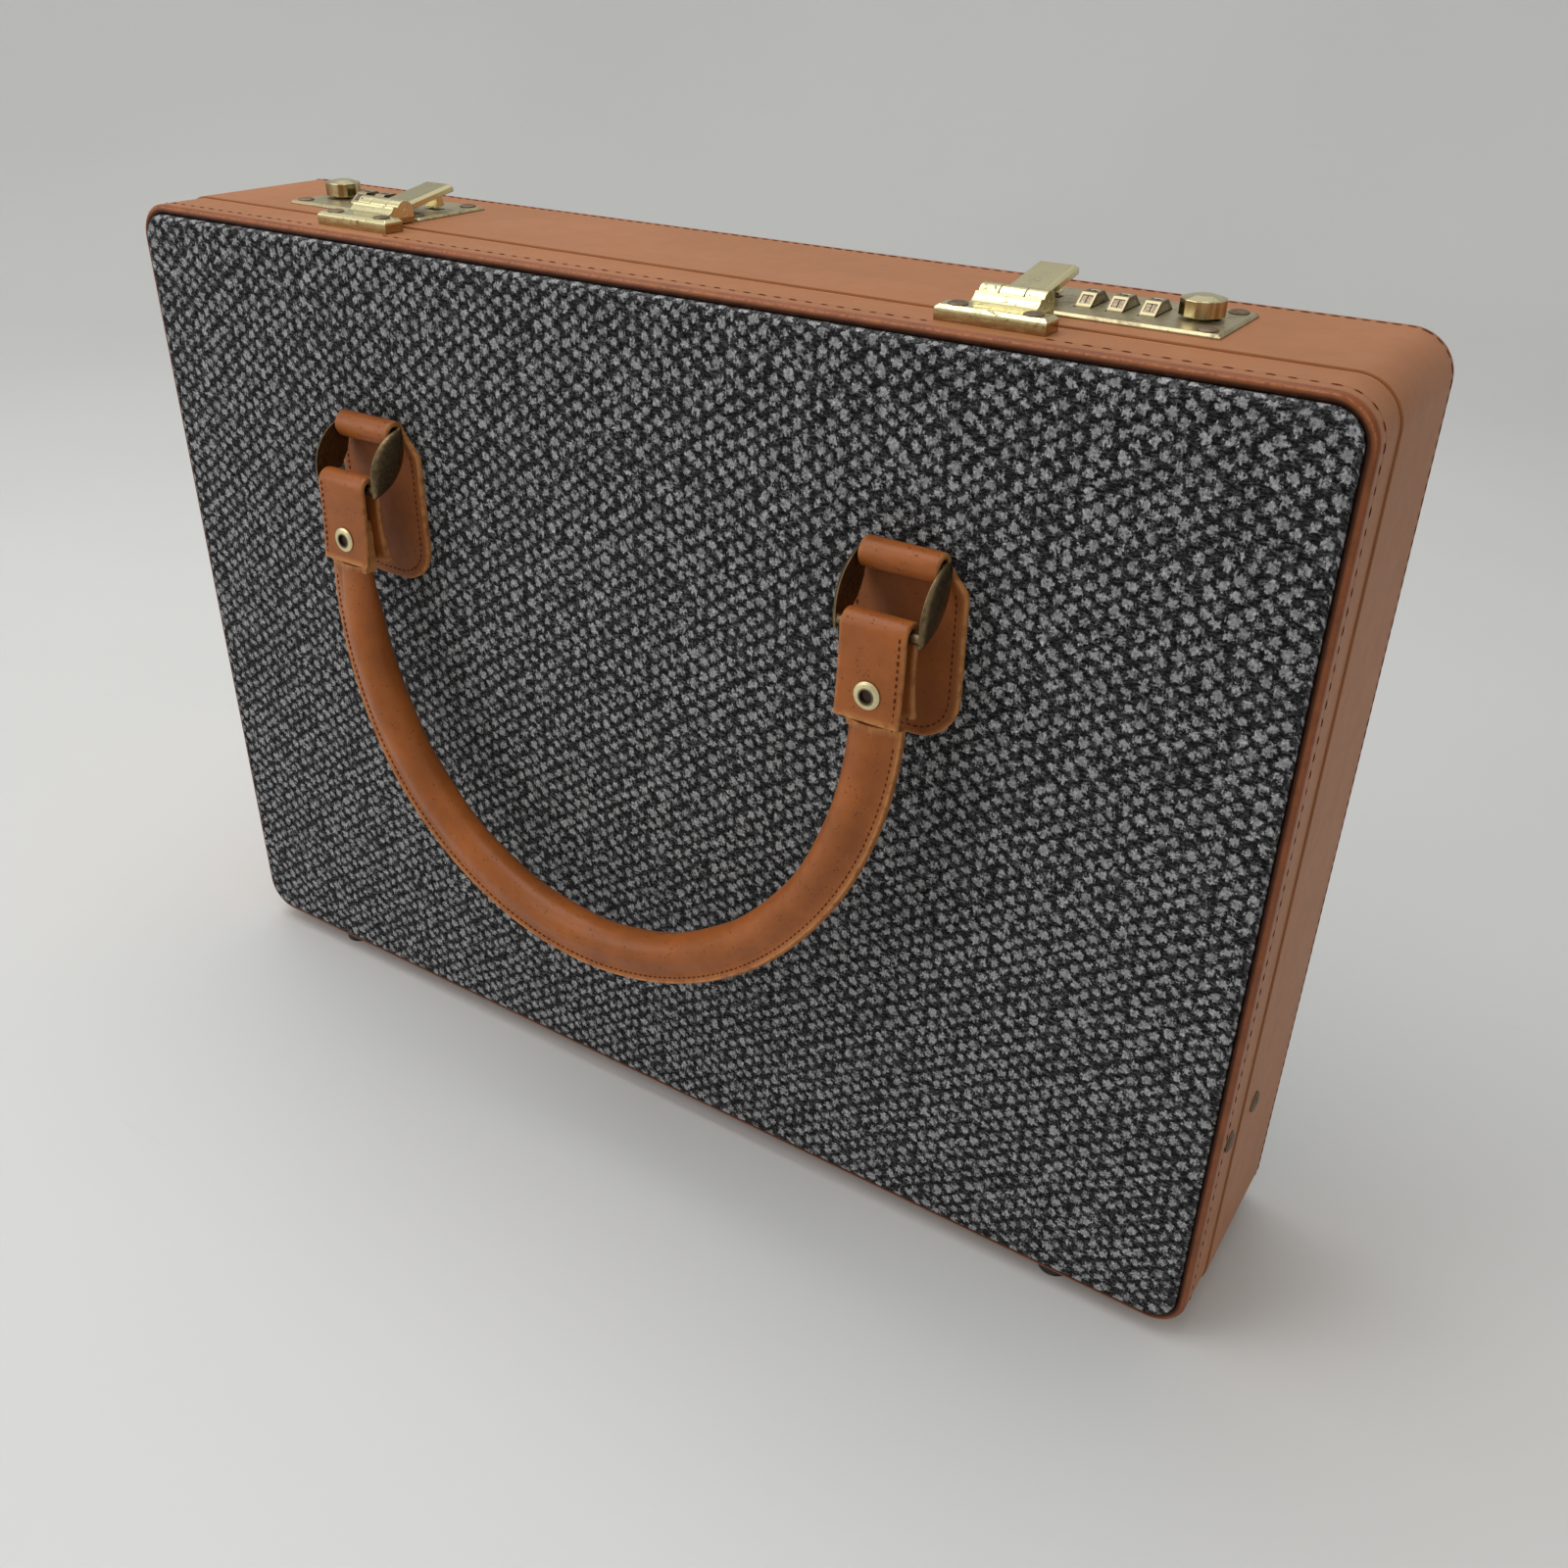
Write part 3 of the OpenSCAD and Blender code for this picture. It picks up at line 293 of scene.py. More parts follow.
class Paint(Nodes):
    """One material, and the nodes that finishes are made of."""

    def __init__(self, name):
        self.material = bpy.data.materials.new(name)
        self.material.use_nodes = True
        super().__init__(self.material.node_tree, "ShaderNode")
        self.shader = self.tree.nodes["Principled BSDF"]
        self.place = self.node("TexCoord", out="Object")
        self.x = self.node("SeparateXYZ", None, self.place)
        self.y, self.z = self.x.other("Y"), self.x.other("Z")

    def mapped(self, scale, turn=(0, 0, 0), at=None):
        """A place scaled and turned, from the object's own place or from another wire."""
        return self.node("Mapping", {"vector_type": "POINT"}, at or self.place, rotation=turn, scale=scale)

    def noise(self, scale, detail=3.0, rough=0.55, at=None, out="Fac"):
        """Noise with so many lumps a metre along each axis."""
        lumps = self.mapped(scale if isinstance(scale, tuple) else (scale,) * 3, at=at)
        return self.node("TexNoise", None, lumps, out=out, scale=1.0, detail=detail, roughness=rough)

    def mix(self, factor, a, b):
        """The colour b laid over a, as far as factor says."""
        return self.node("Mix", {"data_type": "RGBA"}, factor, a, b)

    def bump(self, height, distance, strength=1.0, normal=None):
        """The surface direction, tilted by a height field."""
        links = {"normal": normal} if normal else {}
        return self.node("Bump", None, height=height, distance=distance, strength=strength, **links)

    def rounded(self, radius):
        """The surface direction with its edges rounded, and 1 along those edges."""
        soft = self.node("Bevel", {"samples": 4}, radius)
        flat = self.node("NewGeometry", out="Normal")
        along = self.vector("DOT_PRODUCT", soft, flat, out="Value")
        return soft, along.smooth(0.995, 0.86)

    def varied(self, field, colour, low, high):
        """A colour that wanders between two shades of itself."""
        return self.mix(field.smooth(0.3, 0.7), shade(colour, low), shade(colour, high))

    def layered(self, base, colour, *layers):
        """Lays layers over a base: where each shows, and its own colour or its shade of the main colour."""
        for where, layer in layers:
            base = self.mix(where, base, shade(colour, layer) if isinstance(layer, float) else layer)
        return base

    def finish(self, base, roughness, normal, metallic=0.0, specular=0.5, coat=0.0):
        """Feeds the shader, and gives the material."""
        inputs = self.shader.inputs
        self.feed(inputs["Base Color"], base)
        self.feed(inputs["Roughness"], roughness)
        self.feed(inputs["Normal"], normal)
        self.feed(inputs["Metallic"], metallic)
        self.feed(inputs["Specular IOR Level"], specular)
        self.feed(inputs["Coat Weight"], coat)
        return self.material


def colours():
    """The colours that the panel shows, as linear light."""
    return {key: linear(getattr(bpy.context.scene.case_colours, key)) for key in CaseColours.__annotations__}


def sizes():
    """The sizes that the panel shows, in metres."""
    return bpy.context.scene.case_sizes


def stitched_depths():
    """Where the lid's and the rear half's rows of stitches run, along the case's depth."""
    size = sizes()
    return LID_LOW.y - WELT_R + size.lid_row_back, CASE_HIGH.y + WELT_R - size.case_row_ahead


@cache
def tan_vinyl():
    """Creased, scuffed vinyl, with painted shade in the grooves of its stitch rows and along its parting
    line, and a painted highlight on the parting line's raised lip along the top.
    """
    p = Paint("tan_vinyl")
    tan, welt = colours()["vinyl"], colours()["welt"]
    cloud = p.noise(16, 3)
    mottle = p.noise(120, 4, 0.65)
    grain = p.noise(2000, 3, 0.7)
    creases = p.noise((60, 420, 60), 3, 0.6)
    scuffs = p.noise((40, 900, 300), 5, 0.7).smooth(0.66, 0.74) * p.noise(9, 2).smooth(0.5, 0.62)
    soft, worn = p.rounded(0.8 * MM)
    lid_row, case_row = (p.y.near(depth, 1.3 * MM) for depth in stitched_depths())
    on_top = p.z.smooth(CASE_HIGH.z - 14.5 * MM, CASE_HIGH.z - 6.5 * MM)
    # raised marks the lid's raised lip along the top: a little bump, and a painted highlight
    raised = p.y.near(LID_HIGH.y - 0.6 * MM, 0.7 * MM) * mottle.smooth(0.3, 0.6) * on_top
    base = p.layered(
        p.varied(cloud, tan, 0.93, 1.07),
        tan,
        (mottle.smooth(0.35, 0.75) * 0.3, 0.82),
        (grain.smooth(0.35, 0.65) * 0.5, 0.86),
        # painted shade: the vinyl is darkened where the stitch rows sink into it
        (lid_row * 0.35, 0.62),
        (case_row * 0.35, 0.62),
        (p.y.smooth(LID_LOW.y + 2.2 * MM, LID_LOW.y) * 0.3, welt),
        (p.y.smooth(CASE_HIGH.y - 2 * MM, CASE_HIGH.y) * 0.4, welt),
        # the parting line is darkened as a dark joint, and more on the sides than on top: painted shade
        (p.y.near(LID_HIGH.y, 0.5 * MM) * (0.35 - on_top * 0.25), 0.55),
        # painted highlight on the raised lip along the top
        (raised * 0.8, 1.6),
        (scuffs * 0.4, 1.35),
        (worn * mottle.smooth(0.4, 0.6) * 0.5, 1.25),
    )
    height = grain * 0.08 + creases * 0.25 + cloud * 0.6 - lid_row * 0.5 - case_row * 0.5 + raised * 0.3
    return p.finish(base, mottle * 0.16 + 0.42, p.bump(height, 0.5 * MM, 0.8, soft), specular=0.22)


def from_outline(p):
    """How far a point lies inside the rounded outline of the half that it is on."""
    wider = p.y.smooth(-MM, MM) * (CASE_HIGH.x - LID_HIGH.x)
    half_w, half_h = LID_HIGH.x + wider, (LID_HIGH.z - LID_LOW.z) / 2 + wider
    across = p.math("MAXIMUM", abs(p.x) - half_w + CASE_R, 0.0)
    upward = p.math("MAXIMUM", abs(p.z - middle_of("lid_frame").z) - half_h + CASE_R, 0.0)
    return CASE_R - (across ** 2.0 + upward ** 2.0) ** 0.5


@cache
def welt_leather():
    """The welts' leather: pale along its crest, partly rubbed wear and partly a painted highlight that is
    stronger along the top, and with painted shade where it meets the tweed.
    """
    p = Paint("welt_leather")
    brown = colours()["welt"]
    mottle = p.noise(150, 4, 0.6)
    rubbed = p.noise(700, 4, 0.7)
    inside = from_outline(p)
    on_top = p.z.smooth(CASE_HIGH.z - 16.5 * MM, CASE_HIGH.z - 6.5 * MM)
    # crest: rubbed wear and a painted highlight, the highlight stronger along the top where the light falls
    crest = inside.near(0.7 * MM, 0.45 * MM) * (on_top * 0.6 + 0.15)
    base = p.layered(
        p.varied(mottle, brown, 0.82, 1.15),
        brown,
        (crest * rubbed.smooth(0.35, 0.6), shade(colours()["vinyl"], 1.15)),
        # painted shade where the welt turns in to meet the tweed
        (inside.smooth(1.1 * MM, 2.0 * MM) * 0.85, (0.02, 0.006, 0.002)),
    )
    return p.finish(base, rubbed * 0.2 + 0.3, p.bump(rubbed * 0.2 + mottle, 0.25 * MM), specular=0.22)


def proud(p):
    """How far a point stands proud of the tweed's face."""
    return abs(p.y) - abs(PAD_FACE)


def from_eyelets(p):
    """How far a point lies from the axis of the eyelet on its side of the case."""
    return ((abs(p.x) - ANCHOR_X) ** 2.0 + (p.z - middle_of("front_eyelets").z) ** 2.0) ** 0.5


@cache
def handle_leather():
    """Waxed leather with raw edges; darker on the patches, partly dirt and partly painted shade, and with
    painted shade on the leather seen inside the eyelets.
    """
    p = Paint("handle_leather")
    brown, raw = colours()["leather"], colours()["raw_edge"]
    edge = p.node("Attribute", {"attribute_name": "edge"}, out="Fac")
    cloud = p.noise(45, 3)
    mottle = p.noise(260, 4, 0.65)
    pores = p.node("TexVoronoi", {"feature": "F1"}, p.mapped((700,) * 3), out="Distance", scale=1.0)
    speck = pores.smooth(0.3, 0.14) * p.noise(300, 2).smooth(0.5, 0.6)
    scratch = p.noise((140, 700, 90), 5, 0.7).smooth(0.67, 0.74) * cloud.smooth(0.45, 0.6)
    # in_eyelet: the leather seen inside the eyelets, which gets painted shade
    in_eyelet = from_eyelets(p).smooth(2.9 * MM, 2.6 * MM) * proud(p).smooth(8.7 * MM, 10.7 * MM)
    on_patch = proud(p).smooth(4.7 * MM, 3.2 * MM)
    base = p.layered(
        p.varied(cloud, brown, 0.84, 1.14),
        brown,
        (mottle.smooth(0.45, 0.75) * 0.3, 0.6),
        (speck * 0.6, 0.25),
        (scratch * 0.5, shade(raw, 1.3)),
        # painted shade inside the eyelets
        (in_eyelet * 0.93, (0.012, 0.008, 0.005)),
        # darker on the patches: partly dirt, partly painted shade under the tabs and rings
        (on_patch * (mottle * 0.3 + 0.25), 0.35),
        (edge, p.mix(mottle.smooth(0.42, 0.7) * 0.7, raw, shade(brown, 0.6))),
    )
    height = mottle * 0.35 + p.noise(1800, 2) * 0.12 - speck * 0.4
    rough = mottle * 0.16 + 0.27 + edge * 0.25 + on_patch * 0.2
    return p.finish(base, rough, p.bump(height, 0.3 * MM), specular=0.25, coat=0.03)


@cache
def stitch_thread():
    p = Paint("stitch_thread")
    dark = colours()["thread"]
    twist = p.noise(2500, 2)
    base = p.mix(twist.smooth(0.35, 0.65), shade(dark, 0.6), shade(dark, 1.4))
    return p.finish(base, twist * 0.2 + 0.6, p.bump(twist, 0.1 * MM), specular=0.12)


@cache
def tweed():
    """Light, frayed nubs in offset columns on a dark ground of loose strokes, with a painted highlight on
    the rolled edges, strongest along the top, and painted shade in the groove beside the welts.
    """
    p = Paint("tweed")
    light, dark = colours()["tweed_light"], colours()["tweed_dark"]
    across, upward = sizes().nub_across, sizes().nub_upward
    flat = p.node("CombineXYZ", None, p.x, p.z - abs(p.y) * 0.9)
    moved = flat
    for lumps, reach in ((40, 2.0 * MM), (260, 2.4 * MM), (800, 1.3 * MM), (1900, 0.8 * MM)):
        push = p.vector("SUBTRACT", p.noise(lumps, 2, 0.6, flat, "Color"), (0.5, 0.5, 0.5))
        moved = p.vector("ADD", moved, p.vector("SCALE", push, scale=reach))
    root = math.sqrt(0.5)
    lattice = p.mapped((root / across, root / upward * 2, 1), (0, 0, math.radians(45)), moved)
    cell = {"feature": "F1", "voronoi_dimensions": "2D"}
    middle = p.node("TexVoronoi", cell, lattice, out="Position", scale=1.0, randomness=0.28)
    chance = p.node("SeparateColor", None, middle.other("Color"))
    choice = chance.other("Green")
    away = p.mapped((1, 1, 1), (0, 0, math.radians(-45)), p.vector("SUBTRACT", lattice, middle))
    away = p.vector("MULTIPLY", away, (across / root, upward / root / 2, 0))
    away = p.vector("LENGTH", away, out="Value")
    strokes = p.noise((450, 1300, 1000), 4, 0.75, flat).smooth(0.41, 0.62)
    strands = p.noise((1300, 500, 1000), 4, 0.75, flat).smooth(0.4, 0.6)
    fine = p.noise(1000, 4, 0.8, flat).smooth(0.4, 0.6)
    loose = p.noise(330, 3, 0.7, flat).smooth(0.42, 0.62)
    reach = 1.35 * MM + chance * 0.5 * MM
    for part, share in ((fine, 0.9), (strands, 0.8), (loose, 0.6)):
        reach = reach + (part - 0.5) * share * MM
    nub = (reach - away).smooth(-0.3 * MM, 0.45 * MM)
    glow = nub * (choice * 0.3 + 0.5 + strands * 0.3) * (fine * 0.45 + 0.55)
    ground = p.mix(strokes * (fine * 0.6 + 0.2) * (loose * 0.6 + 0.35), shade(dark, 0.35), shade(light, 0.5))
    on_top = p.z.smooth(CASE_HIGH.z - 15.5 * MM, CASE_HIGH.z - 11.5 * MM)
    # painted highlight: the rolled edges are lightened, more along the top where they face the light
    rolled = proud(p).smooth(-0.3 * MM, -1.5 * MM) * (nub * 0.45 + strands * 0.25)
    base = p.layered(
        ground,
        dark,
        (glow, light),
        (rolled * (fine * 0.6 + 0.4) * (on_top * 0.7 + 0.8), shade(light, 1.3)),
        # painted shade in the groove between the tweed and the welts
        (proud(p).smooth(-2.4 * MM, -3.1 * MM) * 0.85, 0.25),
    )
    height = nub * 0.9 + fine * 0.25 + strokes * 0.25
    return p.finish(base, fine * 0.12 + 0.82, p.bump(height, 1.1 * MM), specular=0.06)


def metal(name, colour, dark, rough, dirt, pits, grime=0.0, browned=None):
    """Plated metal: brushed a little, stained in patches, pitted, and rubbed bright along its edges.

    browned gives how far a place is turned brown, and the colour there: painted shade on the hasp bases' low
    walls, painted shade and reflection down the knobs' sides, and the darker number fields on the wheels.
    """
    p = Paint(name)
    patches = p.noise(70, 5, 0.7)
    fine = p.noise(600, 4, 0.7)
    brushed = p.noise((300, 4000, 4000), 2)
    soft, edge = p.rounded(0.35 * MM)
    stain = patches.smooth(0.62 - dirt * 0.35, 0.78 - dirt * 0.2) * fine.smooth(0.3, 0.6)
    pit = fine.smooth(0.72 - pits * 0.16, 0.76 - pits * 0.1)
    layers = [(stain * 0.75, dark), (pit * 0.8, shade(dark, 0.4))]
    if grime:
        layers.append(((1 - edge) * fine.smooth(0.3, 0.7) * grime, dark))
    layers.append((edge * 0.7, 1.25))
    if browned:
        where, brown = browned
        layers.append((where(p) * (fine * 0.35 + 0.65), brown))
    base = p.layered(colour, colour, *layers)
    roughness = brushed * 0.12 + rough + stain * 0.22 + pit * 0.2 - edge * 0.1
    height = brushed * 0.05 + fine * 0.12 - pit * 0.35
    return p.finish(base, roughness, p.bump(height, 0.12 * MM, 0.7, soft), metallic=1.0)


@cache
def hasp_brass():
    c = colours()["bright_brass"]
    return metal("hasp_brass", c, shade(c, 0.28), rough=0.13, dirt=0.3, pits=0.6)


@cache
def base_brass():
    """The hasp bases' brass, with painted brown shade on the low walls round their feet."""
    c = colours()["bright_brass"]
    low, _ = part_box("hasp_base_left")

    def walls(p):
        # painted shade: the low walls beside the vinyl are turned brown
        line = p.noise((250, 250, 900), 4, 0.7).smooth(0.35, 0.5)
        return p.z.smooth(low.z + 3.0 * MM, low.z + 2.4 * MM) * (line * 0.35 + 0.65)

    browned = (walls, (0.30, 0.165, 0.055))
    return metal("base_brass", c, shade(c, 0.25), rough=0.15, dirt=0.3, pits=0.9, browned=browned)


@cache
def plate_brass():
    c = colours()["aged_brass"]
    return metal("plate_brass", c, (0.12, 0.09, 0.05), rough=0.3, dirt=0.5, pits=0.5, grime=0.12)


@cache
def wheel_brass():
    """The wheels' brass, browned in the shallow fields that hold the numbers."""
    c = colours()["aged_brass"]
    middle, (_, high) = middle_of("dial_left_1"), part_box("dial_left_1")
    radius, half_side = high.z - middle.z, math.pi / WHEEL_SIDES

    def fields(p):
        up, back = p.z - middle.z, p.y - middle.y
        turn = p.math("WRAP", p.math("ARCTAN2", back, up), half_side, -half_side)
        height = (up ** 2.0 + back ** 2.0) ** 0.5 * p.math("COSINE", turn)
        field = height.smooth(radius - 0.08 * MM, radius - 0.16 * MM)
        field = field * height.smooth(radius - 1.4 * MM, radius - 1.0 * MM)
        return field * (p.noise(1600, 3, 0.7).smooth(0.35, 0.6) * 0.6 + 0.4)

    browned = (fields, (0.11, 0.07, 0.06))
    worn = shade(c, 0.72)
    return metal("wheel_brass", worn, shade(c, 0.2), rough=0.22, dirt=0.4, pits=0.4, browned=browned)


@cache
def knob_brass():
    """The knobs' brass: pale grey on top, and with brown streaks down the sides as painted shade and a
    painted reflection of the vinyl.
    """
    c = colours()["bright_brass"]
    _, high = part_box("knob_left")

    def sides(p):
        # painted shade and reflection: brown streaks down the knobs' sides
        streaks = p.noise((420, 420, 12), 2).smooth(0.4, 0.6)
        return p.z.smooth(high.z - 0.6 * MM, high.z - 1.1 * MM) * (streaks * 0.7 + 0.1)

    worn, dark, brown = shade(c, 0.95), shade(c, 0.25), (0.25, 0.12, 0.04)
    return metal("knob_brass", worn, dark, rough=0.15, dirt=0.4, pits=0.5, grime=0.1, browned=(sides, brown))


@cache
def rivet_brass():
    c = colours()["rivet_brass"]
    return metal("rivet_brass", c, shade(c, 0.5), rough=0.48, dirt=0.6, pits=0.3)


@cache
def fitting_brass():
    c = colours()["aged_brass"]
    return metal("fitting_brass", shade(c, 1.05), shade(c, 0.4), rough=0.26, dirt=0.3, pits=0.2)


@cache
def antique_bronze():
    c = colours()["antique"]
    return metal("antique_bronze", c, shade(c, 0.22), rough=0.3, dirt=0.65, pits=0.3, grime=0.45)


@cache
def lock_steel():
    return metal("lock_steel", (0.55, 0.55, 0.53), (0.2, 0.17, 0.14), rough=0.32, dirt=0.2, pits=0.1)


@cache
def eyelet_brass():
    """Pale flange with painted shade where it turns into the hole and inside it, found by the distance from
    the eyelets' axes.
    """
    p = Paint("eyelet_brass")
    c = linear(EYELET_COLOUR)
    away = from_eyelets(p)
    fine = p.noise(900, 4, 0.7)
    hole = away.smooth(2.3 * MM, 1.9 * MM)
    base = p.layered(
        c,
        c,
        (fine.smooth(0.5, 0.75) * 0.4, 0.45),
        # painted shade where the flange turns down into the hole, and inside the hole
        (away.smooth(2.8 * MM, 2.5 * MM) * 0.8, (0.08, 0.05, 0.025)),
        (hole * 0.92, (0.03, 0.025, 0.015)),
    )
    rough, (soft, _) = fine * 0.2 + 0.25 + hole * 0.3, p.rounded(0.25 * MM)
    return p.finish(base, rough, p.bump(fine, 0.08 * MM, 0.6, soft), metallic=0.9)


@cache
def lining_cloth():
    p = Paint("lining_cloth")
    beige = colours()["lining"]
    weave = p.math("SINE", (p.x + p.y) * 5200) * p.math("SINE", (p.z + p.y) * 5200)
    cloud = p.noise(30, 4)
    base = p.varied(cloud, beige, 0.88, 1.08)
    base = p.mix(weave.smooth(-0.6, 0.8) * 0.3, base, shade(beige, 0.6))
    return p.finish(base, cloud * 0.1 + 0.8, p.bump(weave + cloud, 0.1 * MM))


@cache
def lip_leather():
    p = Paint("lip_leather")
    tan = shade(colours()["leather"], 0.8)
    mottle = p.noise(200, 4, 0.6)
    base = p.varied(mottle, tan, 0.85, 1.15)
    soft, _ = p.rounded(0.5 * MM)
    return p.finish(base, mottle * 0.2 + 0.4, p.bump(mottle, 0.2 * MM, 0.7, soft))


@cache
def fibre_board():
    p = Paint("fibre_board")
    fibres = p.noise((30, 400, 400), 5, 0.7)
    base = p.mix(fibres.smooth(0.3, 0.7), (0.17, 0.10, 0.055), (0.27, 0.17, 0.10))
    return p.finish(base, fibres * 0.1 + 0.75, p.bump(fibres, 0.2 * MM))


@cache
def foot_rubber():
    p = Paint("foot_rubber")
    dust = p.noise(500, 4, 0.7)
    base = p.mix(dust.smooth(0.45, 0.75), (0.018, 0.015, 0.013), (0.07, 0.06, 0.05))
    soft, _ = p.rounded(0.6 * MM)
    return p.finish(base, dust * 0.2 + 0.6, p.bump(dust, 0.15 * MM, 0.6, soft))


@cache
def number_paint():
    p = Paint("number_paint")
    wear = p.noise(3000, 3, 0.7)
    base = p.mix(wear.smooth(0.5, 0.8), (0.012, 0.01, 0.008), (0.08, 0.065, 0.04))
    return p.finish(base, wear * 0.2 + 0.5, p.bump(wear, 0.03 * MM))


@cache
def studio_floor():
    p = Paint("studio_floor")
    pale = colours()["floor"]
    cloud = p.noise(1.5, 3)
    lines = p.noise((9, 160, 9), 4, 0.6).smooth(0.68, 0.72)
    base = p.varied(cloud, pale, 0.98, 1.02)
    base = p.mix(lines * 0.08, base, shade(pale, 0.7))
    return p.finish(base, cloud * 0.1 + 0.45, p.bump(cloud, 0.1 * MM))


# Shape building


class Shape:
    """Points, faces and a mark for cut edges, gathered before they become one piece."""

    def __init__(self):
        self.points, self.faces, self.marks = [], [], []

    def loft(self, rows, marks=None):
        """Closed rings of points, joined one to the next and closed at both ends."""
        start, count = len(self.points), len(rows[0])
        for k, row in enumerate(rows):
            self.points += [Vector(point) for point in row]
            self.marks += marks[k] if marks else [0.0] * count
        for k in range(len(rows) - 1):
            a, b = start + k * count, start + (k + 1) * count
            self.faces += [(a + i, a + (i + 1) % count, b + (i + 1) % count, b + i) for i in range(count)]
        last = start + (len(rows) - 1) * count
        self.faces += [tuple(range(start, start + count))[::-1], tuple(range(last, last + count))]
        return self

    def moved(self, matrix):
        """The same shape, with every point brought to its place by a matrix."""
        self.points = [matrix @ point for point in self.points]
        return self

    def pair(self):
        """Moves the shape out to the right-hand fitting, and adds its mirror image on the left."""
        self.moved(Matrix.Translation((ANCHOR_X, 0, 0)))
        start = len(self.points)
        self.points += [Vector((-point.x, point.y, point.z)) for point in self.points]
        self.faces += [tuple(start + i for i in face[::-1]) for face in self.faces]
        self.marks += self.marks
        return self

    def piece(self, name, material, body, slot, turn, replaces=(), sharp=50):
        """Makes the mesh object. turn brings it from the front face to its own."""
        mesh = bpy.data.meshes.new(name)
        mesh.from_pydata([turn @ point for point in self.points], [], self.faces)
        mark = mesh.attributes.new("edge", "FLOAT", "POINT")
        mark.data.foreach_set("value", np.array(self.marks, np.float32))
        outward(mesh)
        mesh.shade_smooth()
        mesh.set_sharp_from_angle(angle=math.radians(sharp))
        mesh.materials.append(material)
        return settle(bpy.data.objects.new(name, mesh), body, replaces)


def outward(mesh):
    """Merges doubled points and turns the faces outwards."""
    solid = bmesh.new()
    solid.from_mesh(mesh)
    bmesh.ops.remove_doubles(solid, verts=solid.verts, dist=1e-7)
    bmesh.ops.recalc_face_normals(solid, faces=solid.faces)
    solid.to_mesh(mesh)
    solid.free()


def settle(piece, body, replaces=()):
    """Links a piece, hangs it from its body's empty, and hides the nodes that it stands for."""
    bpy.context.scene.collection.objects.link(piece)
    if replaces:
        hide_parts(*replaces)
    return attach(piece, body)


def dress(material, *nodes):
    """Gives CAD nodes their finish."""
    for node in nodes:
        mesh = NODES[node].data
        mesh.materials.clear()
        mesh.materials.append(material)


def rounded_outline(half_w, half_h, radius):
    """Points (x, z) round a rectangle with round corners, about its middle."""
    points, steps = [], 14
    for quarter, (sx, sz) in enumerate(((1, 1), (-1, 1), (-1, -1), (1, -1))):
        for k in range(steps + 1):
            angle = math.pi / 2 * (quarter + k / steps)
            x = sx * (half_w - radius) + radius * math.cos(angle)
            z = sz * (half_h - radius) + radius * math.sin(angle)
            points.append((x, z))
    return points


def evened(points, step):
    """The same closed line with extra points, so that none are further apart than step."""
    line = []
    for a, b in zip(points, points[1:] + points[:1]):
        count = max(1, math.ceil(math.dist(a, b) / step))
        line += [tuple(p + (q - p) * k / count for p, q in zip(a, b)) for k in range(count)]
    return line


def inset(points, distance):
    """A closed flat line drawn in by a small distance."""
    line = []
    count = len(points)
    for k in range(count):
        before, here, after = (Vector(points[(k + d) % count]) for d in (-1, 0, 1))
        run = (after - before).normalized()
        line.append(tuple(here + Vector((-run.y, run.x)) * distance))
    return line


def tweed_face(name, node, body, turn):
    """Cloth over thin padding: rolled edges, and a face that swells a little between them."""
    low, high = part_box(node)
    half_w, half_h = (high.x - low.x) / 2, (high.z - low.z) / 2
    middle, thick = (high.z + low.z) / 2, high.y - low.y
    outline = evened(rounded_outline(half_w, half_h, LID_R - 2 * WELT_R), 2 * MM)
    rows = [[(x, PAD_FACE + thick, middle + z) for x, z in outline]]
    for step in PAD_STEPS:
        flat = 1 - min(1.0, step / ROLL)
        drop = ROLL * (1 - math.sqrt(1 - flat**2)) + 0.15
        row = []
        for x, z in outline:
            px, pz = x * (1 - step * MM / half_w), z * (1 - step * MM / half_h)
            wave = 0.12 * math.sin(px * 31 + 1.3) * math.sin(pz * 43 + 0.4) * min(1, step / 20)
            row.append((px, PAD_FACE + (drop + wave) * MM, middle + pz))
        rows.append(row)
    piece = Shape().loft(rows).piece(name, tweed(), body, "tweed", turn, [node], 60)


# Leather fittings, drawn about x = 0 for the front face


def cut_ends(marks):
    """The same marks, with the first and the last row marked as cut edges."""
    return [[1.0] * len(marks[0]), *marks[1:-1], [1.0] * len(marks[-1])]


def strap_section(width):
    """Section of a leather strap: across, height above its inner face, and the mark of its cut edges."""
    half, thick, ease = width / 2, LEATHER_T, 0.45 * MM
    side = [
        (half - 3 * ease, 0, 0.0),
        (half - ease, 0, 0.5),
        (half, ease, 1.0),
        (half, thick - ease, 1.0),
        (half - ease * 0.8, thick - ease * 0.2, 0.5),
        (half - 3 * ease, thick, 0.0),
    ]
    return side + [(-u, v, mark) for u, v, mark in reversed(side)]


def patch_outline():
    """Points (x, z) round a patch: round lower corners, shoulders and a narrow end at the ring's bar."""
    half, low = PATCH_W / 2, PIVOT.z - PATCH_H
    shoulder, neck = PIVOT.z - PATCH_SHOULDER, LOOP_W / 2
    line = []
    for k in range(9):
        angle = math.pi / 2 * (k / 8 - 1)
        x, z = half + PATCH_CORNER * (math.cos(angle) - 1), low + PATCH_CORNER * (math.sin(angle) + 1)
        line.append((x, z))
    line += [(half, shoulder - 2 * MM), (half - 0.6 * MM, shoulder), (neck + 3 * MM, shoulder + 3 * MM)]
    line += [(neck + 0.8 * MM, PIVOT.z - 1.4 * MM), (neck, PIVOT.z)]
    return line + [(-x, z) for x, z in reversed(line)]


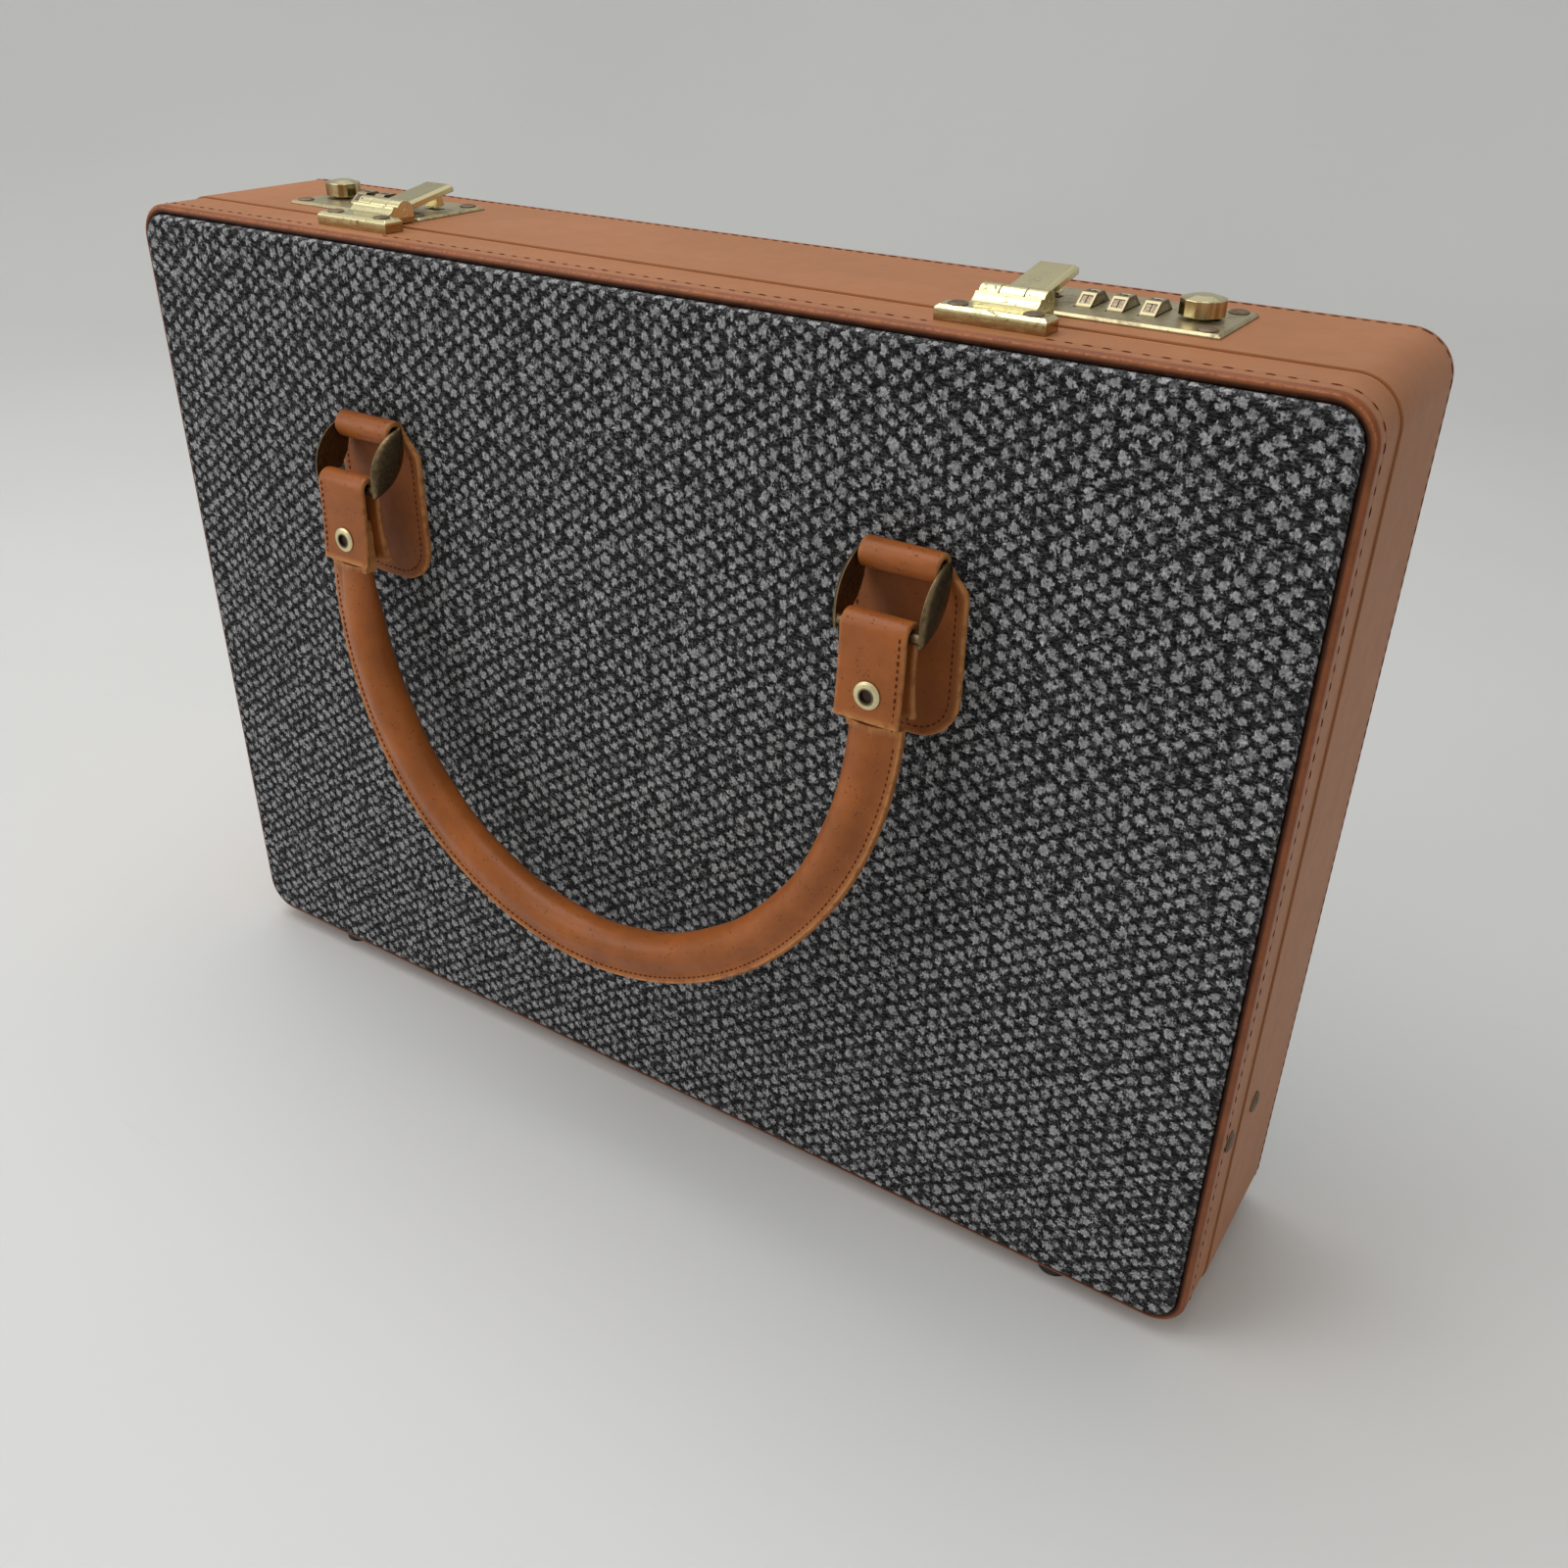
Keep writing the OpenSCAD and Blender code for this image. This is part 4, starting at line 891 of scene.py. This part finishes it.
def sewn_patch():
    """A leather plate with eased edges, whose narrow end is folded round the ring's bar."""
    outline = evened(patch_outline(), 1.5 * MM)
    rows, marks = [], []
    for pulled, depth, mark in PATCH_EDGE:
        line = inset(outline, pulled * MM)
        rows.append([(x, PAD_FACE - depth * MM, z) for x, z in line])
        marks.append([mark] * len(line))
    shape = Shape().loft(rows, marks)
    section = strap_section(LOOP_W)
    rows, marks = [], []
    for degrees in range(-18, 316, 9):
        c, s = math.cos(math.radians(degrees)), math.sin(math.radians(degrees))
        rows.append([(u, PIVOT.y + (LOOP_R + v) * c, PIVOT.z + (LOOP_R + v) * s) for u, v, _ in section])
        marks.append([mark for _, _, mark in section])
    return shape.loft(rows, cut_ends(marks)).pair()


def folded_tabs():
    """Straps folded over the rings' lower bars, pinched a little towards the grip's tongues."""
    line = []
    shares = [k / 12 for k in range(13)]
    pinch, back_flare, front_flare = 0.35 * MM, -0.5, 2.6
    for share in reversed(shares):
        y = -LOOP_R + pinch * math.sin(math.pi * share)
        line.append((y, -TAB_L * share, -1, 0, back_flare * share**3))
    for k in range(1, 16):
        c, s = -math.cos(math.pi * k / 16), math.sin(math.pi * k / 16)
        line.append((LOOP_R * c, LOOP_R * s, c, s, 0))
    for share in shares:
        y = LOOP_R - pinch * math.sin(math.pi * share)
        line.append((y, -TAB_L * share, 1, 0, front_flare * share**2.5))
    section = strap_section(TAB_W)
    rows, marks = [], []
    for y, z, ny, nz, flare in line:
        row = []
        for u, v, _ in section:
            spread = flare * MM * (0.25 + 0.75 * (2 * u / TAB_W) ** 2)
            row.append((u, y + ny * v + spread, z + nz * v))
        rows.append(row)
        marks.append([mark * 0.7 for _, _, mark in section])
    return Shape().loft(rows, cut_ends(marks)).pair()


def bow_frame(angle):
    """A point of the grip's half ellipse, with the ways from it to the sewn edge and to the front."""
    middle = Vector((ANCHOR_X * math.cos(angle), 0, GRIP_TOP - BOW_DROP * math.sin(angle)))
    out = Vector((math.cos(angle) / ANCHOR_X, 0, -math.sin(angle) / BOW_DROP)).normalized()
    front = Vector((0, -1, 0))
    lean = GRIP_LEAN * min(1.0, min(angle, math.pi - angle) / 0.7)
    c, s = math.cos(lean), math.sin(lean)
    return middle, out * c + front * s, front * c - out * s


def grip_bow():
    """Leather sewn round a cord: round inside the bow, and both layers meet in a sewn edge outside it."""
    edge = [(out * MM, -half * MM, mark) for out, half, mark in SEWN_EDGE]
    edge += [(out, -half, mark) for out, half, mark in reversed(edge)]
    rows, marks = [], []
    steps = 150
    for k in range(steps + 1):
        share = k / steps
        middle, out, front = bow_frame(math.pi * share)
        ends = min(1.0, min(share, 1 - share) / 0.09)
        full = 0.55 + 0.45 * ends * ends * (3 - 2 * ends)
        sway = 1 + 0.02 * math.sin(share * 61) + 0.015 * math.sin(share * 23 + 1)
        row = []
        for degrees in range(34, 327, 12):
            angle = math.radians(degrees)
            row.append((GRIP_R * math.cos(angle) * sway, GRIP_R * math.sin(angle) * full * sway, 0.0))
        row += edge
        rows.append([middle + out * u - front * v for u, v, _ in row])
        marks.append([float(mark) for _, _, mark in row])
    return Shape().loft(rows, cut_ends(marks))


def grip_tongues():
    """The grip's flat ends, which run up between the tabs' two layers."""
    rows = []
    for z, half_w, half_t in TONGUE:
        corners = ((half_w, -half_t), (half_w, half_t), (-half_w, half_t), (-half_w, -half_t))
        rows.append([(x * MM, y * MM, z * MM) for x, y in corners])
    return Shape().loft(rows, [[1.0] * 4] * len(rows)).pair()


def ring_pair():
    """Two rings, each of two round bars joined by domed, leaf-shaped sides."""
    shape = Shape()
    bar, inner, thick, half_w = 1.7 * MM, 13.1 * MM, 2.2 * MM, 6.25 * MM
    bar_half, leaf_half = inner + 0.2 * MM, RING_LENGTH / 2 + 2.6 * MM
    turns = np.linspace(0, 2 * math.pi, 20, False)
    for z in (0, -RING_LENGTH):
        circle = [(bar * math.cos(turn), z + bar * math.sin(turn)) for turn in turns]
        shape.loft([[(x, y, z) for y, z in circle] for x in (-bar_half, bar_half)])
    for side in (-1, 1):
        rows = []
        for share in np.linspace(-1, 1, 33):
            wide = half_w * max(0.07, (1 - share * share)) ** 0.9
            deep = thick * (0.35 + 0.65 * max(0.0, 1 - share * share) ** 0.5)
            z = share * leaf_half - RING_LENGTH / 2
            row = []
            for turn in np.linspace(0, math.pi, 11):
                row.append((side * (inner + deep * math.sin(turn) ** 0.8), wide * math.cos(turn), z))
            row += [(side * inner, -wide * 0.85, z), (side * inner, wide * 0.85, z)]
            rows.append(row)
        shape.loft(rows)
    place = Matrix.Translation(PIVOT) @ Matrix.Rotation(-RING_SLANT, 4, "X")
    return shape.moved(place).pair()


# Stitches


def stitch_tree():
    """Geometry nodes that lay short stitches along a line."""
    tree = bpy.data.node_groups.get("stitch_rows")
    if tree:
        return tree
    tree = bpy.data.node_groups.new("stitch_rows", "GeometryNodeTree")
    sockets = tree.interface
    sockets.new_socket("Lines", in_out="INPUT", socket_type="NodeSocketGeometry")
    for name in ("Pitch", "Length", "Width"):
        sockets.new_socket(name, in_out="INPUT", socket_type="NodeSocketFloat")
    sockets.new_socket("Thread", in_out="INPUT", socket_type="NodeSocketMaterial")
    sockets.new_socket("Stitches", in_out="OUTPUT", socket_type="NodeSocketGeometry")

    n = Nodes(tree)
    lines = n.node("NodeGroupInput", out="Lines")
    width = lines.other("Width")
    curve = n.node("GeometryNodeMeshToCurve", None, lines)
    points = n.node("GeometryNodeCurveToPoints", {"mode": "LENGTH"}, curve, length=lines.other("Pitch"))
    ball = n.node("GeometryNodeMeshUVSphere", segments=8, rings=5, radius=0.5)
    along = n.node("FunctionNodeAlignRotationToVector", {"axis": "X"}, vector=points.other("Tangent"))
    size = n.node("ShaderNodeCombineXYZ", None, lines.other("Length"), width, width)
    chance = n.node("FunctionNodeRandomValue", {"data_type": "FLOAT"}, min=0.82, max=1.1, seed=7)
    size = n.node("ShaderNodeVectorMath", {"operation": "SCALE"}, size, scale=chance)
    placed = n.node("GeometryNodeInstanceOnPoints", None, points, instance=ball, rotation=along, scale=size)
    smooth = n.node("GeometryNodeSetShadeSmooth", None, n.node("GeometryNodeRealizeInstances", None, placed))
    painted = n.node("GeometryNodeSetMaterial", None, smooth, material=lines.other("Thread"))
    n.feed(tree.nodes.new("NodeGroupOutput").inputs["Stitches"], painted)
    return tree


def sew(name, lines, pitch, stitch, body, slot, turn):
    """Stitches along the lines, each a list of points and closed where its ends meet."""
    points, edges = [], []
    for line in lines:
        start = len(points)
        points += [turn @ Vector(point) for point in line]
        edges += [(start + k, start + k + 1) for k in range(len(line) - 1)]
    mesh = bpy.data.meshes.new(name)
    mesh.from_pydata(points, edges, [])
    carrier = bpy.data.objects.new(name + "_lines", mesh)
    bpy.context.scene.collection.objects.link(carrier)
    tree = stitch_tree()
    rows = carrier.modifiers.new("stitches", "NODES")
    rows.node_group = tree
    values = {"Pitch": pitch, "Length": stitch, "Width": sizes().thread_width, "Thread": stitch_thread()}
    for socket in tree.interface.items_tree:
        if socket.in_out == "INPUT" and socket.name in values:
            rows[socket.identifier] = values[socket.name]
    depsgraph = bpy.context.evaluated_depsgraph_get()
    sewn = bpy.data.meshes.new_from_object(carrier.evaluated_get(depsgraph))
    sewn.name = name
    bpy.data.objects.remove(carrier)
    return settle(bpy.data.objects.new(name, sewn), body)


def shell_line(half_w, half_h, radius, middle, y, hidden):
    """A line round a half's walls, broken where hidden(x, z) covers it."""
    outline = evened(rounded_outline(half_w, half_h, radius), 1.5 * MM)
    outline.append(outline[0])
    lines, line = [], []
    for x, z in outline:
        if hidden(x, z):
            lines, line = lines + [line], []
        else:
            line.append((x, y, middle + z))
    return [line for line in lines + [line] if len(line) > 2]


def twins(lines):
    """The lines, and their mirror images on the other side of the case."""
    return lines + [[(-x, y, z) for x, y, z in line] for line in lines]


# Operators


class CASE_OT_shell(bpy.types.Operator):
    """Tan covering, welts and boards of both halves"""

    bl_idname = "case.shell"
    bl_label = "Shell"

    def execute(self, context):
        dress(tan_vinyl(), "case_frame", "lid_frame")
        dress(welt_leather(), "front_welt", "rear_welt")
        dress(fibre_board(), "case_back_board", "lid_front_board")
        return {"FINISHED"}


class CASE_OT_inside(bpy.types.Operator):
    """Linings, dust lip and lid stays"""

    bl_idname = "case.inside"
    bl_label = "Inside"

    def execute(self, context):
        dress(lining_cloth(), "case_lining", "lid_lining")
        dress(lip_leather(), "dust_lip")
        dress(fitting_brass(), "case_stay_left", "case_stay_right", "lid_stay_left", "lid_stay_right")
        dress(rivet_brass(), "case_stay_rivets", "lid_stay_rivets", "elbow_rivet_left", "elbow_rivet_right")
        return {"FINISHED"}


class CASE_OT_locks(bpy.types.Operator):
    """Lock plates, wheels, knobs and what is under the plates"""

    bl_idname = "case.locks"
    bl_label = "Locks"

    def execute(self, context):
        for side in ("left", "right"):
            dress(plate_brass(), f"lock_plate_{side}")
            dress(knob_brass(), f"knob_{side}")
            works = ("lock_housing", "dial_shaft", "detent_spring", "latch_slider")
            dress(lock_steel(), *(f"{work}_{side}" for work in works))
        dress(wheel_brass(), *DIALS)
        dress(rivet_brass(), "lock_rivets")
        return {"FINISHED"}


class CASE_OT_hasps(bpy.types.Operator):
    """Hasps with their bases, pins and rivets"""

    bl_idname = "case.hasps"
    bl_label = "Hasps"

    def execute(self, context):
        dress(hasp_brass(), "hasp_left", "hasp_right", "hasp_pins")
        dress(base_brass(), "hasp_base_left", "hasp_base_right")
        dress(rivet_brass(), "hasp_base_rivets")
        return {"FINISHED"}


class CASE_OT_underside(bpy.types.Operator):
    """Feet and hinges under the case"""

    bl_idname = "case.underside"
    bl_label = "Underside"

    def execute(self, context):
        dress(foot_rubber(), "case_feet", "lid_feet")
        dress(fitting_brass(), "case_hinge_leaves", "lid_hinge_leaves", "hinge_pins")
        return {"FINISHED"}


class CASE_OT_panels(bpy.types.Operator):
    """Padded tweed faces"""

    bl_idname = "case.panels"
    bl_label = "Tweed panels"

    def execute(self, context):
        for face, body, turn in FACES:
            tweed_face(f"{face}_tweed", f"{face}_tweed_panel", body, turn)
        return {"FINISHED"}


class CASE_OT_patches(bpy.types.Operator):
    """Sewn leather patches that carry the rings"""

    bl_idname = "case.patches"
    bl_label = "Handle patches"

    def execute(self, context):
        for face, body, turn in FACES:
            replaced = [f"{face}_handle_patches"]
            sewn_patch().piece(f"{face}_patches", handle_leather(), body, "handle_leather", turn, replaced)
        return {"FINISHED"}


class CASE_OT_rings(bpy.types.Operator):
    """Rings with round bars and leaf-shaped sides"""

    bl_idname = "case.rings"
    bl_label = "Handle rings"

    def execute(self, context):
        for face, _, turn in FACES:
            node, shape = f"{face}_rings", ring_pair()
            shape.piece(f"{face}_leaf_rings", antique_bronze(), node, "antique_metal", turn, [node], 40)
        return {"FINISHED"}


class CASE_OT_grips(bpy.types.Operator):
    """Grips, folded tabs and eyelets"""

    bl_idname = "case.grips"
    bl_label = "Grips"

    def execute(self, context):
        for face, _, turn in FACES:
            body = f"{face}_handle"
            for name, shape, replaced in (
                ("bow", grip_bow(), [f"{face}_grip"]),
                ("tongues", grip_tongues(), []),
                ("tabs", folded_tabs(), [f"{face}_grip_tabs"]),
            ):
                shape.moved(HANDLE_PLACE)
                shape.piece(f"{face}_{name}", handle_leather(), body, "handle_leather", turn, replaced)
            dress(eyelet_brass(), f"{face}_eyelets")
        return {"FINISHED"}


class CASE_OT_shell_stitches(bpy.types.Operator):
    """Rows of stitches round both halves of the shell"""

    bl_idname = "case.shell_stitches"
    bl_label = "Shell stitches"

    def execute(self, context):
        size = sizes()
        lid_depth, case_depth = stitched_depths()

        def at_foot(x, z):
            return z < 0 and abs(abs(x) - FOOT_X) < FOOT_HALF

        def at_hasp_or_foot(x, z):
            return at_foot(x, z) or z > 0 and abs(abs(x) - HASP_X) < HASP_HALF

        for half, low, high, radius, depth, pitch, stitch, hidden in (
            ("lid", LID_LOW, LID_HIGH, LID_R, lid_depth, size.lid_pitch, size.lid_stitch, at_hasp_or_foot),
            ("case", CASE_LOW, CASE_HIGH, CASE_R, case_depth, size.case_pitch, size.case_stitch, at_foot),
        ):
            middle = (high.z + low.z) / 2
            lines = shell_line(high.x, high.z - middle, radius, middle, depth, hidden)
            sew(f"{half}_stitches", lines, pitch, stitch, half, "tan_shell", Matrix.Identity(4))
        return {"FINISHED"}


class CASE_OT_handle_stitches(bpy.types.Operator):
    """Rows of stitches on patches, tabs and grips"""

    bl_idname = "case.handle_stitches"
    bl_label = "Handle stitches"

    def execute(self, context):
        size = sizes()
        lift = 0.05 * MM
        line = inset(evened(patch_outline(), 1 * MM), 3 * MM)
        line = [(x, z) for x, z in line if z < PIVOT.z - PATCH_SHOULDER - 1.5 * MM]
        split = max(range(len(line)), key=lambda k: math.dist(line[k], line[k - 1]))
        line = line[split:] + line[:split]
        patch_lines = twins([[(ANCHOR_X + x, PAD_FACE - LEATHER_T - lift, z) for x, z in line]])
        edge_x = ANCHOR_X + TAB_W / 2 - 1.7 * MM
        outer = LOOP_R + LEATHER_T + lift
        heights = [-TAB_L * k / 20 for k in range(20, -1, -1)]
        lines = twins([[(edge_x, y, z) for z in heights] for y in (-outer, outer)])
        bow = [bow_frame(math.radians(degrees)) for degrees in range(3, 178)]
        for half in (-SEAM_HALF, SEAM_HALF):
            lines.append([middle + (out * SEAM_OUT + front * half) * MM for middle, out, front in bow])
        grip_lines = [[HANDLE_PLACE @ Vector(point) for point in line] for line in lines]
        stitch = (size.fine_pitch, size.fine_stitch)
        for face, body, turn in FACES:
            sew(f"{face}_patch_stitches", patch_lines, *stitch, body, "handle_leather", turn)
            sew(f"{face}_grip_stitches", grip_lines, *stitch, f"{face}_handle", "handle_leather", turn)
        return {"FINISHED"}


def digit_mesh(digit):
    """A narrow raised figure about the origin, facing up."""
    text = bpy.data.curves.new("digit", "FONT")
    text.body = str(digit)
    text.size = sizes().digit_height
    text.align_x, text.align_y = "CENTER", "CENTER"
    text.extrude, text.offset = DIGIT_RAISED, DIGIT_BOLDER
    text.resolution_u = 2
    letter = bpy.data.objects.new("digit", text)
    mesh = bpy.data.meshes.new_from_object(letter)
    bpy.data.objects.remove(letter)
    bpy.data.curves.remove(text)
    mesh.transform(Matrix.Scale(DIGIT_NARROW, 4, (1, 0, 0)))
    return mesh


class CASE_OT_numbers(bpy.types.Operator):
    """Numbers 0 to 9 round each wheel"""

    bl_idname = "case.numbers"
    bl_label = "Wheel numbers"

    def execute(self, context):
        for node in DIALS:
            middle, (_, high) = middle_of(node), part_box(node)
            face = Matrix.Translation((0, 0, high.z - middle.z - 0.2 * MM))
            ring = bmesh.new()
            for digit in range(WHEEL_SIDES):
                mesh = digit_mesh(digit)
                turn = Matrix.Rotation((SHOWN_DIGIT - digit) * 2 * math.pi / WHEEL_SIDES, 4, "X")
                mesh.transform(Matrix.Translation(middle) @ turn @ face)
                ring.from_mesh(mesh)
                bpy.data.meshes.remove(mesh)
            mesh = bpy.data.meshes.new(node + "_numbers")
            ring.to_mesh(mesh)
            ring.free()
            mesh.materials.append(number_paint())
            settle(bpy.data.objects.new(node + "_numbers", mesh), node)
        return {"FINISHED"}


def round_floor():
    """A flat disc that curves up into a round backdrop."""
    profile = [(FLOOR_HUB, 0.0), (FLOOR_FLAT, 0.0)]
    for k in range(1, 17):
        angle = math.pi / 2 * k / 16
        profile.append((FLOOR_FLAT + FLOOR_BEND * math.sin(angle), FLOOR_BEND * (1 - math.cos(angle))))
    profile.append((FLOOR_FLAT + FLOOR_BEND, FLOOR_TOP))
    turns = [2 * math.pi * k / FLOOR_SIDES for k in range(FLOOR_SIDES)]
    points = [(0, 0, 0)]
    for reach, up in profile:
        points += [(reach * math.cos(turn), reach * math.sin(turn), up) for turn in turns]
    sides = [(k, (k + 1) % FLOOR_SIDES) for k in range(FLOOR_SIDES)]
    faces = [(0, 1 + k, 1 + after) for k, after in sides]
    for ring in range(len(profile) - 1):
        a, b = 1 + ring * FLOOR_SIDES, 1 + (ring + 1) * FLOOR_SIDES
        faces += [(a + k, b + k, b + after, a + after) for k, after in sides]
    mesh = bpy.data.meshes.new("floor")
    mesh.from_pydata(points, [], faces)
    mesh.shade_smooth()
    mesh.materials.append(studio_floor())
    return bpy.data.objects.new("floor", mesh)


def studio_sky():
    """An even, dim sky that looks brighter to the camera and in reflections."""
    world = bpy.data.worlds.new("studio")
    world.use_nodes = True
    n = Nodes(world.node_tree, "ShaderNode")
    n.tree.nodes.remove(n.tree.nodes["Background"])
    sky = n.node("Background", None, SKY_COLOUR, SKY_STRENGTH)
    seen = n.node("Background", None, linear(SKY_SEEN))
    rays = n.node("LightPath", None, out="Is Camera Ray")
    either = n.math("MAXIMUM", rays, rays.other("Is Glossy Ray"))
    n.feed(n.tree.nodes["World Output"].inputs["Surface"], n.node("MixShader", None, either, sky, seen))
    return world


def lamp(name, place, aim, size, power):
    """A square soft lamp."""
    data = bpy.data.lights.new(name, "AREA")
    data.size, data.energy = size, power
    soft = bpy.data.objects.new(name, data)
    soft.location = place
    soft.rotation_mode = "QUATERNION"
    soft.rotation_quaternion = (Vector(aim) - Vector(place)).to_track_quat("-Z", "Y")
    return soft


def photo_camera():
    """The camera at the photograph's viewing angle."""
    data = bpy.data.cameras.new("camera")
    data.sensor_width, data.lens, data.clip_start = CAMERA_SENSOR, CAMERA_LENS, CAMERA_NEAR
    camera = bpy.data.objects.new("camera", data)
    up = CAMERA_RIGHT.cross(CAMERA_FORWARD)
    turn = Matrix((CAMERA_RIGHT, up, -CAMERA_FORWARD)).transposed().to_4x4()
    camera.matrix_world = Matrix.Translation(CAMERA_PLACE) @ turn
    return camera


class CASE_OT_stage(bpy.types.Operator):
    """Floor that curves up into a round backdrop, lamps and the camera"""

    bl_idname = "case.stage"
    bl_label = "Stage"

    def execute(self, context):
        scene = context.scene
        floor, camera = round_floor(), photo_camera()
        for thing in (floor, camera, *(lamp(*values) for values in LAMPS)):
            scene.collection.objects.link(thing)
        scene.world = studio_sky()
        scene.camera = camera
        scene.view_settings.view_transform = "Standard"
        return {"FINISHED"}


class CASE_PT_panel(bpy.types.Panel):
    """Lists the case's colours, sizes and pieces"""

    bl_idname = "CASE_PT_panel"
    bl_label = "Attache case"
    bl_space_type = "VIEW_3D"
    bl_region_type = "UI"
    bl_category = "Case"

    def draw(self, context):
        layout = self.layout
        for group in (context.scene.case_colours, context.scene.case_sizes):
            box = layout.box()
            for key in type(group).__annotations__:
                box.prop(group, key)
        for step in STEPS:
            layout.operator(step.bl_idname)


STEPS = (
    CASE_OT_stage,
    CASE_OT_shell,
    CASE_OT_inside,
    CASE_OT_locks,
    CASE_OT_hasps,
    CASE_OT_underside,
    CASE_OT_panels,
    CASE_OT_patches,
    CASE_OT_rings,
    CASE_OT_grips,
    CASE_OT_shell_stitches,
    CASE_OT_handle_stitches,
    CASE_OT_numbers,
)
CLASSES = (CaseColours, CaseSizes, *STEPS, CASE_PT_panel)


def register():
    for cls in CLASSES:
        bpy.utils.register_class(cls)
    bpy.types.Scene.case_colours = bpy.props.PointerProperty(type=CaseColours)
    bpy.types.Scene.case_sizes = bpy.props.PointerProperty(type=CaseSizes)


def unregister():
    del bpy.types.Scene.case_colours
    del bpy.types.Scene.case_sizes
    for cls in reversed(CLASSES):
        bpy.utils.unregister_class(cls)


def main():
    register()
    for step in STEPS:
        group, name = step.bl_idname.split(".")
        getattr(getattr(bpy.ops, group), name)()


if __name__ == "__main__":
    main()
